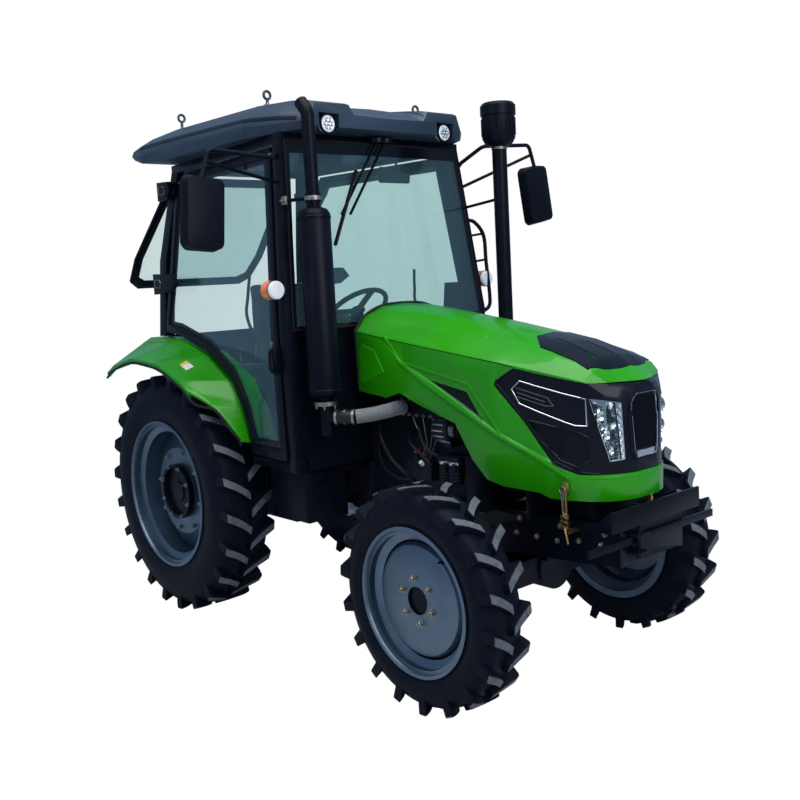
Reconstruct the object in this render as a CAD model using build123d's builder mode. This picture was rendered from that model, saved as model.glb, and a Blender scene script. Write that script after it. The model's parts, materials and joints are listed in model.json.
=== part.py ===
"""Compact cab tractor: one STEP file per named piece, millimetres, +X forward, +Y left, +Z up.

The origin is on the ground, in the middle of the overall length and on the centre plane.
"""
import os
from math import cos
from math import pi
from math import radians
from math import sin
from math import sqrt

from build123d import *

# ---- driving dimensions (mm) ----
rear_axle_x = -850.0
wheelbase = 2137.0
front_axle_x = rear_axle_x + wheelbase

rear_tyre_radius = 695.0
rear_tyre_width = 305.0
rear_track = 1332.0
rear_rim_radius = 431.0
rear_rim_width = 320.0

front_tyre_radius = 498.0
front_tyre_width = 216.0
front_track = 1392.0
front_rim_radius = 330.0
front_rim_width = 215.0
kingpin_y = front_track / 2 - 148.0

running_gap = 0.8
seat_gap = 0.3
rim_plate = 9.0
rim_flange_height = 24.0
rim_flange_width = 10.0
rim_well_depth = 34.0
sidewall_bulge = 4.0
lug_root = 45.0
lug_taper = 8.0
drawbar_hole_radius = 16.5
top_pin_radius = 12.8
link_pin_radius = 14.4
pto_radius = 17.5

hood_wall = 9.0
mask_inset = 4.0
mask_wall = 8.0
engine_front_x = front_axle_x - 237.0
hood_rear_x = rear_axle_x + 1262.0
hood_nose_x = front_axle_x + 647.0
hood_hinge_x = hood_rear_x + 60.0
hood_hinge_z = 1700.0

cab_floor_z = 950.0
deck_z = 1150.0
floor_plate = 20.0
sill_z = 985.0
waist_z = 1680.0
door_top_z = 2560.0
door_front_x = rear_axle_x + 1110.0
door_rear_x = rear_axle_x - 170.0
door_thickness = 30.0
glass_thickness = 6.0
waist_half_front = 704.0
waist_half_rear = 584.0
top_half_front = 617.0
top_half_rear = 500.0

roof_under_z = 2622.0
inner_wall_y = rear_track / 2 - 177.0

os.makedirs("parts", exist_ok=True)


def at(x):
    """Turn a distance ahead of the rear axle into a row coordinate."""
    return rear_axle_x + x


def ahead(x):
    """Turn a distance ahead of the front axle into a row coordinate."""
    return front_axle_x + x


def along_hood(x):
    """Place a distance ahead of the rear axle, as on a 2137 mm wheelbase, between hood rear and nose."""
    return hood_rear_x + (x - 1262.0) * (hood_nose_x - hood_rear_x) / 1522.0


def block(x0, x1, y0, y1, z0, z1, mode=Mode.ADD):
    """Add or cut a plain box given by its limits."""
    middle = ((x0 + x1) / 2, (y0 + y1) / 2, (z0 + z1) / 2)
    with Locations(middle):
        Box(x1 - x0, y1 - y0, z1 - z0, mode=mode)


def side_block(sign, x0, x1, near, far, z0, z1, mode=Mode.ADD):
    """Add or cut a box on one side, its y limits given as distances out from the centre plane."""
    block(x0, x1, min(sign * near, sign * far), max(sign * near, sign * far), z0, z1, mode=mode)


def rod(p0, p1, radius, mode=Mode.ADD):
    """Add or cut a round bar from one point to another."""
    start = Vector(*p0)
    span = Vector(*p1) - start
    with BuildSketch(Plane(origin=start, z_dir=span)) as section:
        Circle(radius)
    extrude(section.sketch, amount=span.length, mode=mode)


def beam(p0, p1, width, height, up=(0, 0, 1), mode=Mode.ADD):
    """Add a rectangular bar: width lies across the given up direction, height along it."""
    start = Vector(*p0)
    span = Vector(*p1) - start
    side = Vector(*up).cross(span)
    with BuildSketch(Plane(origin=start, x_dir=side, z_dir=span)) as section:
        Rectangle(width, height)
    extrude(section.sketch, amount=span.length, mode=mode)


def pipe(points, radius, bend):
    """Add a round tube that follows points, its corners rounded to the bend radius."""
    with BuildLine() as route:
        FilletPolyline(*points, radius=bend)
    with BuildSketch(Plane(origin=route.line @ 0, z_dir=route.line % 0)) as section:
        Circle(radius)
    sweep(section.sketch, path=route.line)


def prism_y(outline, y0, y1, mode=Mode.ADD):
    """Add or cut an outline of (x, z) points drawn across from y0 to y1."""
    with BuildSketch(Plane(origin=(0, y1, 0), x_dir=(1, 0, 0), z_dir=(0, -1, 0))) as section:
        Polygon(*outline, align=None)
    extrude(section.sketch, amount=y1 - y0, mode=mode)


def side_prism(sign, outline, near, far, mode=Mode.ADD):
    """Add or cut an (x, z) outline on one side, between two distances out from the centre plane."""
    prism_y(outline, min(sign * near, sign * far), max(sign * near, sign * far), mode=mode)


def prism_x(outline, x0, x1, mode=Mode.ADD):
    """Add or cut an outline of (y, z) points drawn forward from x0 to x1."""
    with BuildSketch(Plane(origin=(x0, 0, 0), x_dir=(0, 1, 0), z_dir=(1, 0, 0))) as section:
        Polygon(*outline, align=None)
    extrude(section.sketch, amount=x1 - x0, mode=mode)


def prism_z(outline, z0, z1, mode=Mode.ADD):
    """Add or cut an outline of (x, y) points drawn up from z0 to z1."""
    with BuildSketch(Plane.XY.offset(z0)) as section:
        Polygon(*outline, align=None)
    extrude(section.sketch, amount=z1 - z0, mode=mode)


def turned_y(x, z, profile, mode=Mode.ADD):
    """Add or cut a profile of (y, radius) points turned about the Y line through x, z."""
    with BuildSketch(Plane(origin=(x, 0, z), x_dir=(0, 1, 0), z_dir=(1, 0, 0))) as section:
        Polygon(*profile, align=None)
    revolve(section.sketch, axis=Axis((x, 0, z), (0, 1, 0)), mode=mode)


def turned_z(x, y, profile, mode=Mode.ADD):
    """Add or cut a profile of (radius, z) points turned about the upright line at x, y."""
    with BuildSketch(Plane(origin=(x, y, 0), x_dir=(1, 0, 0), z_dir=(0, -1, 0))) as section:
        Polygon(*profile, align=None)
    revolve(section.sketch, axis=Axis((x, y, 0), (0, 0, 1)), mode=mode)


def loft_x(stations, mode=Mode.ADD):
    """Add or cut a ruled body through stations of x and a closed outline of (y, z) points."""
    faces = []
    for x, outline in stations:
        with BuildSketch(Plane(origin=(x, 0, 0), x_dir=(0, 1, 0), z_dir=(1, 0, 0))) as section:
            Polygon(*outline, align=None)
        faces.append(section.sketch.face())
    loft(faces, ruled=True, mode=mode)


def loft_y(stations, mode=Mode.ADD):
    """Add or cut a ruled body through stations of y and a closed outline of (x, z) points."""
    faces = []
    for y, outline in stations:
        with BuildSketch(Plane(origin=(0, y, 0), x_dir=(1, 0, 0), z_dir=(0, -1, 0))) as section:
            Polygon(*outline, align=None)
        faces.append(section.sketch.face())
    loft(faces, ruled=True, mode=mode)


def loft_z(stations, mode=Mode.ADD):
    """Add or cut a ruled body through stations of z and a closed outline of (x, y) points."""
    faces = []
    for z, outline in stations:
        with BuildSketch(Plane.XY.offset(z)) as section:
            Polygon(*outline, align=None)
        faces.append(section.sketch.face())
    loft(faces, ruled=True, mode=mode)


def save(part, name):
    """Name a finished piece and write its STEP file."""
    part.label = name
    export_step(part, f"parts/{name}.step")


# ---- wheels ----
# side, sign of Y
sides = (
    ("left", 1),
    ("right", -1),
)

# name, axle x, track, tyre radius, tyre width, rim radius, rim width, lugs a side, lug height,
# lug base, lug sweep along the tread
wheels = (
    ("front", front_axle_x, front_track, front_tyre_radius, front_tyre_width,
     front_rim_radius, front_rim_width, 18, 32.0, 62.0, 78.0),
    ("rear", rear_axle_x, rear_track, rear_tyre_radius, rear_tyre_width,
     rear_rim_radius, rear_rim_width, 22, 38.0, 68.0, 112.0),
)

for (name, axle_x, track, tyre_radius, tyre_width, rim_radius, rim_width, lug_count, lug_height,
     lug_base, lug_sweep) in wheels:
    facets = 2 * lug_count
    tread_radius = tyre_radius - lug_height
    lug_half = tyre_width / 2
    lug_reach = sqrt(tyre_radius ** 2 - (lug_sweep / 2 + lug_base / 3) ** 2)
    bead_half = rim_width / 2 - rim_flange_width - seat_gap
    # distance from the tyre's middle plane, radius
    carcass = (
        (bead_half, rim_radius + 5),
        (rim_width / 2 + sidewall_bulge, rim_radius + 0.4 * (tread_radius - rim_radius)),
        (lug_half - 5, tread_radius - lug_root),
        (lug_half - 38, tread_radius),
    )
    with BuildPart() as lug:
        foot_plane = Plane(origin=(tread_radius - lug_root, 0, 0), x_dir=(0, 0, 1), z_dir=(1, 0, 0))
        with BuildSketch(foot_plane) as foot:
            Polygon(
                (-4, -lug_sweep / 2 - lug_base / 2),
                (lug_half - 2, lug_sweep / 2 - lug_base / 2),
                (lug_half - 2, lug_sweep / 2 + lug_base / 2),
                (-4, -lug_sweep / 2 + lug_base / 2),
                align=None,
            )
        extrude(foot.sketch, amount=lug_reach - tread_radius + lug_root, taper=lug_taper)
    with BuildPart() as other_lug:
        with PolarLocations(0, 1, start_angle=180.0 / lug_count):
            add(mirror(lug.part, about=Plane.XY, mode=Mode.PRIVATE))
    with BuildPart() as tyre_form:
        bands = []
        for y, radius in carcass:
            bands.append((-y, radius))
        for y, radius in reversed(carcass):
            bands.append((y, radius))
        faces = []
        for y, radius in bands:
            with BuildSketch(Plane.XY.offset(y)) as ring:
                RegularPolygon(radius, facets)
            faces.append(ring.sketch.face())
        loft(faces, ruled=True)
        with PolarLocations(0, lug_count):
            add(lug.part)
            add(other_lug.part)
        with BuildSketch(Plane.XY.offset(-rim_width)) as seat_hole:
            RegularPolygon((rim_radius - rim_flange_height + seat_gap) / cos(pi / facets), facets)
        extrude(seat_hole.sketch, amount=2 * rim_width, mode=Mode.SUBTRACT)
    for side, sign in sides:
        with BuildPart() as tyre:
            with Locations(Location((axle_x, sign * track / 2, tyre_radius), (-90, 0, 0))):
                add(tyre_form.part)
        save(tyre.part, f"tyre_{name}_{side}")

# name, axle x, axle z, track, rim radius, rim width, disc profile as inset and radius, hub profile
front_disc = (
    (38, 62), (38, 225), (45, 242), (62, 254), (84, 264), (94, 264), (70, 246), (54, 234), (47, 222), (47, 62),
)
rear_disc = (
    (110, 70), (110, 258), (122, 272), (150, 330), (168, 364), (180, 364), (160, 330), (132, 272), (119, 258),
    (119, 70),
)
front_hub = (
    (50, 0), (50, 56), (46.5, 56), (46.5, 122), (80, 122), (80, 100), (83, 100), (83, 0),
)
rear_hub = (
    (88, 0), (88, 58), (96, 62), (96, 138), (70, 142), (70, 162), (109.5, 162), (118, 168), (150, 150), (150, 0),
)
rims = (
    ("front", front_axle_x, front_tyre_radius, front_track, front_rim_radius, front_rim_width,
     front_disc, front_hub),
    ("rear", rear_axle_x, rear_tyre_radius, rear_track, rear_rim_radius, rear_rim_width,
     rear_disc, rear_hub),
)
for name, axle_x, axle_z, track, rim_radius, rim_width, disc, hub in rims:
    seat_radius = rim_radius - rim_flange_height
    well_radius = seat_radius - rim_well_depth
    # inset from the outer face, radius
    barrel = (
        (0, rim_radius),
        (rim_flange_width, rim_radius),
        (rim_flange_width, seat_radius),
        (42, seat_radius),
        (58, well_radius),
        (rim_width - 58, well_radius),
        (rim_width - 42, seat_radius),
        (rim_width - rim_flange_width, seat_radius),
        (rim_width - rim_flange_width, rim_radius),
        (rim_width, rim_radius),
        (rim_width, seat_radius - rim_plate),
        (rim_width - 46, seat_radius - rim_plate),
        (rim_width - 62, well_radius - rim_plate),
        (62, well_radius - rim_plate),
        (46, seat_radius - rim_plate),
        (14, seat_radius - rim_plate),
        (14, seat_radius + 3),
        (0, seat_radius + 8),
    )
    for side, sign in sides:
        outer = sign * (track / 2 + rim_width / 2)
        with BuildPart() as rim:
            for profile in (barrel, disc, hub):
                turned_y(axle_x, axle_z, [(outer - sign * inset, radius) for inset, radius in profile])
        save(rim.part, f"rim_{name}_{side}")

front_hub_end = front_track / 2 + front_rim_width / 2 - 83.0
rear_hub_end = rear_track / 2 + rear_rim_width / 2 - 150.0

# ---- driveline ----
lift_shaft_x = at(-290)
lift_shaft_z = 960.0
lift_eye_x = at(-570)
lift_eye_z = 925.0
link_pivot_x = at(-290)
link_pivot_z = 515.0
link_end_x = at(-1108)
link_end_z = 470.0
link_eye_y = 400.0
ear_outer_y = 240.0
housing_half = 170.0

with BuildPart() as transmission:
    stations = (
        (at(-235), ((-170, 470), (170, 470), (185, 640), (170, 900), (-170, 900), (-185, 640))),
        (at(190), ((-170, 470), (170, 470), (185, 640), (170, 900), (-170, 900), (-185, 640))),
        (at(420), ((-130, 480), (130, 480), (160, 640), (130, 860), (-130, 860), (-160, 640))),
        (at(900), ((-130, 480), (130, 480), (160, 640), (130, 860), (-130, 860), (-160, 640))),
        (at(1180), ((-190, 460), (190, 460), (235, 660), (190, 900), (-190, 900), (-235, 660))),
    )
    loft_x(stations)
    # x of a bolted flange, half width, bottom, top
    for x, half, low, high in ((at(205), 196, 462, 906), (at(660), 172, 472, 872), (at(1168), 246, 452, 912)):
        flange = ((-half * 0.8, low), (half * 0.8, low), (half, 640), (half * 0.8, high), (-half * 0.8, high),
                  (-half, 640))
        prism_x(flange, x - 11, x + 11)
    for side, sign in sides:
        trumpet = (
            (sign * 150, 0),
            (sign * 150, 150),
            (sign * 230, 105),
            (sign * 420, 92),
            (sign * 430, 140),
            (sign * (rear_hub_end - running_gap), 140),
            (sign * (rear_hub_end - running_gap), 0),
        )
        turned_y(rear_axle_x, rear_tyre_radius, trumpet)
        side_block(sign, link_pivot_x - 45, link_pivot_x + 140, 150, ear_outer_y, 470, 560)
        side_block(sign, at(-40), at(60), 300, 380, 760, deck_z - floor_plate - seat_gap)
        side_block(sign, at(980), at(1040), 0, 329.7, 860, cab_floor_z - floor_plate - seat_gap)
    lift_housing = ((at(-350), 890), (at(-350), 1010), (at(-310), 1045), (at(-250), 1045), (at(-60), 900))
    prism_y(lift_housing, -housing_half, housing_half)
    rod((at(-330), 0, 640), (at(-235), 0, 640), 60)
    rod((at(-400), 0, 640), (at(-330), 0, 640), pto_radius)
    block(at(-560), at(200), -40, 40, 395, 425)
    block(at(-235), at(-150), -60, 60, 420, 475)
    block(at(60), at(140), -60, 60, 420, 475)
    rod((at(-520), 0, 390), (at(-520), 0, 430), drawbar_hole_radius, mode=Mode.SUBTRACT)
    block(at(-350), at(-225), -45, 45, 790, 900)
    block(at(-360), at(-250), -22, 22, 780, 884, mode=Mode.SUBTRACT)
    rod((at(-300), -60, 840), (at(-300), 60, 840), top_pin_radius, mode=Mode.SUBTRACT)
    block(at(300), at(400), 20, 100, 405, 500)
    rod((at(350), 60, 440), (ahead(-79.3), 60, 428), 20)
    rod((at(650), -205, 600), (at(1060), -205, 620), 34)
    block(at(700), at(722), -205, -130, 560, 625)
    block(at(980), at(1002), -205, -150, 560, 640)
save(transmission.part, "transmission")

with BuildPart() as engine:
    block(at(1181), engine_front_x, -190, 190, 620, 1180)
    prism_x(((-150, 1180), (-150, 1350), (-110, 1420), (110, 1420), (150, 1350), (150, 1180)),
            at(1230), engine_front_x - 50)
    block(at(1200), engine_front_x - 100, -150, 150, 470, 620)
    rod((engine_front_x, 0, 800), (engine_front_x + 50, 0, 800), 95)
    rod((engine_front_x, 0, 1080), (engine_front_x + 70, 0, 1080), 62)
    rod((engine_front_x, 0, 1000), (engine_front_x + 130, 0, 1000), 34)
    for turn in range(6):
        with Locations(Location((engine_front_x + 115, 0, 1000), (turn * 60, 0, 0))):
            with Locations((0, 0, 120)):
                Box(8, 78, 190)
    side_block(-1, at(1480), engine_front_x - 30, 190, 240, 1190, 1280)
    side_block(1, at(1320), engine_front_x - 60, 190, 245, 1190, 1262)
    rod((engine_front_x - 110, -262, 1150), (engine_front_x - 10, -262, 1150), 62)
    rod((engine_front_x - 10, -262, 1150), (engine_front_x + 24, -262, 1150), 38)
    side_block(-1, engine_front_x - 90, engine_front_x - 40, 190, 262, 1060, 1110)
    side_block(-1, at(1540), at(1720), 190, 270, 880, 975)
    rod((at(1595), -240, 975), (at(1595), -240, 1010), 20)
    for x in (engine_front_x - 70, engine_front_x - 5):
        rod((x, -268, 890), (x, -268, 1000), 36)
    side_block(-1, engine_front_x - 110, engine_front_x, 190, 296, 1000, 1022)
    side_block(-1, engine_front_x, engine_front_x + 35, 240, 296, 1000, 1022)
save(engine.part, "engine")

rail_inner = 190.3
rail_outer = 220.3
with BuildPart() as front_frame:
    for side, sign in sides:
        rail = ((ahead(-637), 560), (ahead(423), 620), (ahead(643), 640), (ahead(643), 800),
                (ahead(423), 800), (ahead(-37), 790), (ahead(-637), 800))
        side_prism(sign, rail, rail_inner, rail_outer)
    block(ahead(-125), ahead(-80.3), -191, 191, 640, 780)
    block(ahead(80.3), ahead(125), -191, 191, 640, 780)
    block(ahead(-125), ahead(-80.3), -60, 60, 530, 640)
    block(ahead(80.3), ahead(125), -60, 60, 530, 640)
    block(ahead(563), ahead(643), -191, 191, 650, 790)
    block(ahead(143), ahead(223), -191, 191, 700, 780)
    block(ahead(153), ahead(203), -225, 225, 780, 1240)
    block(ahead(153), ahead(203), -191, 191, 770, 780)
    block(ahead(148), ahead(208), -205, 205, 1240, 1275)
    block(ahead(240), ahead(520), -191, 191, 780, 796)
    block(ahead(290), ahead(470), -130, 130, 796, 990)
    side_block(-1, ahead(-150), ahead(-30), 200, 298, 785, 801)
    side_block(-1, ahead(-150), ahead(-30), 240, 298, 800, 1040)
    side_block(1, ahead(-140), ahead(40), 200, 298, 785, 801)
    side_block(1, ahead(-140), ahead(40), 240, 298, 800, 960)
save(front_frame.part, "front_frame")

with BuildPart() as tow_bracket:
    frame_end = ahead(643) + seat_gap
    block(frame_end, ahead(663), -226, 226, 645, 804)
    prism_z(((ahead(603), -316), (ahead(693), -316), (ahead(693), 316), (ahead(603), 316)), 804, 812)
    block(ahead(681), ahead(693), -316, 316, 804, 892)
    for side, sign in sides:
        gusset = ((ahead(603), 804), (ahead(693), 804), (ahead(693), 892), (ahead(681), 892), (ahead(603), 830))
        side_prism(sign, gusset, 306, 316)
        side_block(sign, frame_end, ahead(663), 194, 226, 640, 812)
    block(ahead(663), ahead(678), -448, 448, 730, 762)
    block(ahead(663), ahead(713), -175, -95, 690, 700)
    block(ahead(663), ahead(713), -175, -95, 765, 775)
    rod((ahead(691), -135, 672), (ahead(691), -135, 800), 12)
save(tow_bracket.part, "tow_bracket")

# ---- front axle ----
beam_z = front_tyre_radius - 20
cylinder_x = ahead(-205)
cylinder_z = beam_z + 20
rod_radius = 14.0
with BuildPart() as front_axle:
    stations = []
    for y, half in ((78 - kingpin_y, 45), (-200, 60), (200, 60), (kingpin_y - 78, 45)):
        stations.append((y, ((front_axle_x - half, beam_z - half), (front_axle_x + half, beam_z - half),
                             (front_axle_x + half, beam_z + half), (front_axle_x - half, beam_z + half))))
    loft_y(stations)
    rod((ahead(-79), 60, beam_z), (ahead(79), 60, beam_z), 115)
    rod((ahead(-80), 0, beam_z + 110), (ahead(80), 0, beam_z + 110), 48)
    block(ahead(-70), ahead(70), -48, 48, beam_z, beam_z + 110)
    rod((cylinder_x, -180, cylinder_z), (cylinder_x, 180, cylinder_z), 38)
    block(ahead(-200), ahead(-50), -150, -110, beam_z - 20, beam_z + 40)
    block(ahead(-200), ahead(-50), 110, 150, beam_z - 20, beam_z + 40)
    rod((cylinder_x, -190, cylinder_z), (cylinder_x, 190, cylinder_z), rod_radius + running_gap,
        mode=Mode.SUBTRACT)
    for side, sign in sides:
        y = sign * kingpin_y
        rod((front_axle_x, sign * (kingpin_y - 78), beam_z + 62), (front_axle_x, y, beam_z + 62), 40)
        rod((front_axle_x, y, beam_z + 20), (front_axle_x, y, beam_z + 111 - running_gap), 52)
        side_block(sign, ahead(-40), ahead(40), kingpin_y - 108, kingpin_y - 48, beam_z - 40, beam_z + 100)
save(front_axle.part, "front_axle")

for side, sign in sides:
    with BuildPart() as knuckle:
        y = sign * kingpin_y
        rod((front_axle_x, y, beam_z + 111), (front_axle_x, y, beam_z + 150), 48)
        drive = (
            (sign * (kingpin_y + 60), 0),
            (sign * (kingpin_y + 60), 105),
            (sign * (kingpin_y + 92), 118),
            (sign * (front_hub_end - running_gap), 118),
            (sign * (front_hub_end - running_gap), 0),
        )
        turned_y(front_axle_x, front_tyre_radius, drive)
        side_block(sign, ahead(-40), ahead(40), kingpin_y, kingpin_y + 75, beam_z + 111, beam_z + 150)
        side_block(sign, ahead(-45), ahead(45), kingpin_y + 58, kingpin_y + 80, beam_z - 20, beam_z + 150)
        side_block(sign, ahead(-160), front_axle_x, kingpin_y + 58, kingpin_y + 80, beam_z - 12, beam_z + 12)
    save(knuckle.part, f"knuckle_{side}")

with BuildPart() as steering_rod:
    rod((cylinder_x, 78 - kingpin_y, cylinder_z), (cylinder_x, kingpin_y - 78, cylinder_z), rod_radius)
save(steering_rod.part, "steering_rod")
# ---- hood ----
# x, foot half, crease half, crease z, ledge, shoulder half, shoulder z, crown half, crown z,
# ridge half, ridge z, top z
hood_stations = (
    (1262, 322, 329, 1590, 0, 327, 1619, 262, 1692, 144, 1738, 1748),
    (1490, 326, 333, 1562, 3, 331, 1587, 256, 1660, 140, 1710, 1722),
    (1610, 326, 334, 1466, 10, 329, 1570, 250, 1640, 134, 1693, 1706),
    (2000, 322, 331, 1285, 10, 322, 1517, 236, 1588, 124, 1634, 1646),
    (2233, 312, 322, 1163, 10, 314, 1485, 226, 1554, 118, 1593, 1603),
    (2450, 294, 304, 1082, 8, 300, 1452, 212, 1516, 112, 1553, 1562),
    (2575, 276, 285, 1032, 6, 283, 1430, 208, 1489, 106, 1516, 1524),
    (2667, 240, 247, 1010, 0, 260, 1410, 214, 1450, 104, 1477, 1486),
    (2727, 190, 196, 1000, 0, 200, 1350, 166, 1390, 92, 1424, 1440),
    (2757, 148, 154, 1000, 0, 158, 1340, 122, 1386, 66, 1407, 1416),
    (2784, 74, 78, 1000, 0, 82, 1334, 62, 1380, 30, 1393, 1398),
)
hood_foot_z = 880.0
nose_bend_x = 2700.0


def hood_outline(row, depth):
    """Give the closed (y, z) outline of one hood station, brought in by a depth."""
    (_, foot, crease, crease_z, ledge, shoulder, shoulder_z, crown, crown_z, ridge, ridge_z, top) = row
    half = [
        (foot - depth, hood_foot_z - depth),
        (crease - depth, crease_z),
        (crease - ledge - depth, crease_z + 10),
        (shoulder - depth, shoulder_z - depth * 0.3),
        (crown - depth * 0.6, crown_z - depth * 0.8),
        (ridge, ridge_z - depth),
    ]
    mirrored = [(-y, z) for y, z in reversed(half)]
    return half + [(0, top - depth)] + mirrored


def hood_stations_at(depth):
    """Give the loft stations of the hood's surface, brought in by a depth."""
    stations = []
    for row in hood_stations:
        back = depth if row[0] > nose_bend_x else 0.0
        stations.append((along_hood(row[0]) - back, hood_outline(row, depth)))
    return stations


def hood_shell(depth0, depth1):
    """Add the hood's whole skin between two depths in from its surface."""
    loft_x(hood_stations_at(depth0))
    inner = hood_stations_at(depth1)
    inner[0] = (hood_rear_x - 1, inner[0][1])
    loft_x(inner, mode=Mode.SUBTRACT)


def side_outline(points):
    """Turn outline points measured on the hood into row coordinates."""
    return tuple((along_hood(x), z) for x, z in points)


# x, z of what is cut away below the hood's side edge
hood_side_cut = side_outline((
    (1202, 700), (1202, 1312), (1270, 1312), (1480, 1288), (1586, 1318), (1717, 1270), (1965, 1195),
    (2064, 1034), (2146, 952), (2239, 931), (2440, 924), (2490, 905), (2900, 905), (2900, 700),
))
mask_outline = side_outline((
    (2319, 1462), (2213, 1402), (2207, 1380), (2370, 1225), (2510, 1055), (2625, 1018), (2850, 1018),
    (2850, 1398), (2690, 1402),
))
vent_hole = side_outline(((1790, 1394), (2040, 1346), (2128, 1224)))
marker_outer = side_outline(((2300, 1370), (2351, 1412), (2674, 1345), (2674, 1222), (2618, 1222), (2345, 1303)))
marker_inner = side_outline(((2314, 1369), (2354, 1401), (2664, 1336), (2664, 1232), (2620, 1232), (2350, 1313)))
cheek_grille = side_outline(((2385, 1234), (2668, 1196), (2680, 1068), (2600, 1070), (2510, 1100)))
# y, z of the headlamp and of the nose grille
lamp_outline = ((238, 1334), (160, 1320), (138, 1079), (180, 1077))
nose_grille = ((98, 1338), (-98, 1338), (-63, 1072), (63, 1072))
# x, half width of the vent plate on the hood's top
vent_plate = ((2653, 214), (2374, 184), (2292, 110))
vent_plate_outline = side_outline(vent_plate) + side_outline([(x, -y) for x, y in reversed(vent_plate)])
# x, y where each groove of the vent plate starts and ends
vent_grooves = (
    (2375, -78, 2628, -118),
    (2480, 0, 2636, 0),
    (2375, 78, 2628, 118),
)
hinge_plate = 9.2
hinge_pin = 14.0


def flipped(outline):
    """Mirror (y, z) points in the centre plane."""
    return tuple((-y, z) for y, z in outline)


with BuildPart() as hood:
    hood_shell(0, hood_wall)
    prism_y(hood_side_cut, -500, 500, mode=Mode.SUBTRACT)
    prism_y(mask_outline, -500, 500, mode=Mode.SUBTRACT)
    prism_y(vent_hole, -500, 500, mode=Mode.SUBTRACT)
    for side, sign in sides:
        lug_outline = (
            (hood_hinge_x - 12, hood_hinge_z + 4),
            (hood_hinge_x + 4, hood_hinge_z - 12),
            (hood_hinge_x + 60, hood_hinge_z + 24),
            (hood_hinge_x - 12, hood_hinge_z + 27),
        )
        side_prism(sign, lug_outline, 110 + running_gap, 110 + running_gap + hinge_plate)
        rod((hood_hinge_x, sign * (110 + running_gap), hood_hinge_z),
            (hood_hinge_x, sign * (110 + running_gap + hinge_plate), hood_hinge_z), hinge_pin)
save(hood.part, "hood")

with BuildPart() as hood_mask:
    hood_shell(mask_inset, mask_inset + mask_wall)
    prism_y(mask_outline, -500, 500, mode=Mode.INTERSECT)
    for outline in (lamp_outline, flipped(lamp_outline), nose_grille):
        prism_x(outline, along_hood(2600), hood_nose_x + 20, mode=Mode.SUBTRACT)
    prism_y(cheek_grille, -500, 500, mode=Mode.SUBTRACT)
save(hood_mask.part, "hood_mask")

with BuildPart() as lamp_shell:
    hood_shell(mask_inset + 1, mask_inset + 5)

with BuildPart() as marker_shell:
    hood_shell(1, mask_inset - seat_gap)

with BuildPart() as headlamps:
    for outline in (lamp_outline, flipped(lamp_outline)):
        with BuildPart(mode=Mode.PRIVATE) as lens:
            add(lamp_shell.part)
            prism_x(outline, along_hood(2600), hood_nose_x + 20, mode=Mode.INTERSECT)
        add(lens.part)
    for near, far in ((150, 400), (-400, -150)):
        with BuildPart(mode=Mode.PRIVATE) as marker:
            add(marker_shell.part)
            prism_y(marker_outer, near, far, mode=Mode.INTERSECT)
            prism_y(marker_inner, near, far, mode=Mode.SUBTRACT)
        add(marker.part)
save(headlamps.part, "headlamps")

with BuildPart() as grille_shell:
    hood_shell(mask_inset + 5, mask_inset + mask_wall)

with BuildPart() as vent_shell:
    hood_shell(4, hood_wall)

with BuildPart() as plate_shell:
    hood_shell(-5, -seat_gap)

with BuildPart() as hood_grilles:
    with BuildPart(mode=Mode.PRIVATE) as nose:
        add(grille_shell.part)
        prism_x(nose_grille, along_hood(2600), hood_nose_x + 20, mode=Mode.INTERSECT)
    add(nose.part)
    for near, far in ((150, 400), (-400, -150)):
        with BuildPart(mode=Mode.PRIVATE) as cheek:
            add(grille_shell.part)
            prism_y(cheek_grille, near, far, mode=Mode.INTERSECT)
        add(cheek.part)
        with BuildPart(mode=Mode.PRIVATE) as vent:
            add(vent_shell.part)
            prism_y(vent_hole, near, far, mode=Mode.INTERSECT)
        add(vent.part)
    with BuildPart(mode=Mode.PRIVATE) as plate:
        add(plate_shell.part)
        prism_z(vent_plate_outline, 1400, 1650, mode=Mode.INTERSECT)
        for x0, y0, x1, y1 in vent_grooves:
            groove = ((along_hood(x0), y0 - 4), (along_hood(x1), y1 - 4), (along_hood(x1), y1 + 4),
                      (along_hood(x0), y0 + 4))
            prism_z(groove, 1400, 1700, mode=Mode.SUBTRACT)
    add(plate.part)
save(hood_grilles.part, "hood_grilles")

latch_x = along_hood(2575)
latch_y = 285.0
with BuildPart() as draw_latches:
    for side, sign in sides:
        side_block(sign, latch_x - 12, latch_x + 12, rail_outer + seat_gap, latch_y + 10, 764, 776)
        side_block(sign, latch_x - 6, latch_x + 6, latch_y + 2, latch_y + 10, 764, 960)
        rod((latch_x, sign * (latch_y + 1), 840), (latch_x, sign * (latch_y + 22), 840), 14)
        side_block(sign, latch_x - 18, latch_x + 18, latch_y + 2, latch_y + 8, 930, 985)
save(draw_latches.part, "draw_latches")
# ---- cab ----
def side_half(x, z):
    """Give the cab's half width at the door's outer face."""
    share = (x - door_rear_x) / (door_front_x - door_rear_x)
    waist = waist_half_rear + share * (waist_half_front - waist_half_rear)
    top = top_half_rear + share * (top_half_front - top_half_rear)
    if z <= waist_z:
        return waist
    return waist + (top - waist) * (z - waist_z) / (door_top_z - waist_z)


# x, z of the door's outline, clockwise from the rear top
door_outline = (
    (at(-40), 2560),
    (at(1010), 2560),
    (at(1112), 1680),
    (at(1122), sill_z),
    (at(745), sill_z),
    (at(736), 1036),
    (at(668), 1222),
    (at(550), 1380),
    (at(272), 1520),
    (at(-98), 1608),
    (at(-300), 1626),
    (at(-232), 2040),
    (at(-180), 2400),
)
door_opening = (
    (at(-5), 2515),
    (at(968), 2515),
    (at(1060), 1680),
    (at(1068), sill_z + 55),
    (at(802), sill_z + 55),
    (at(790), 1055),
    (at(712), 1255),
    (at(584), 1422),
    (at(296), 1568),
    (at(-86), 1658),
    (at(-246), 1672),
    (at(-184), 2040),
    (at(-135), 2380),
)

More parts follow.
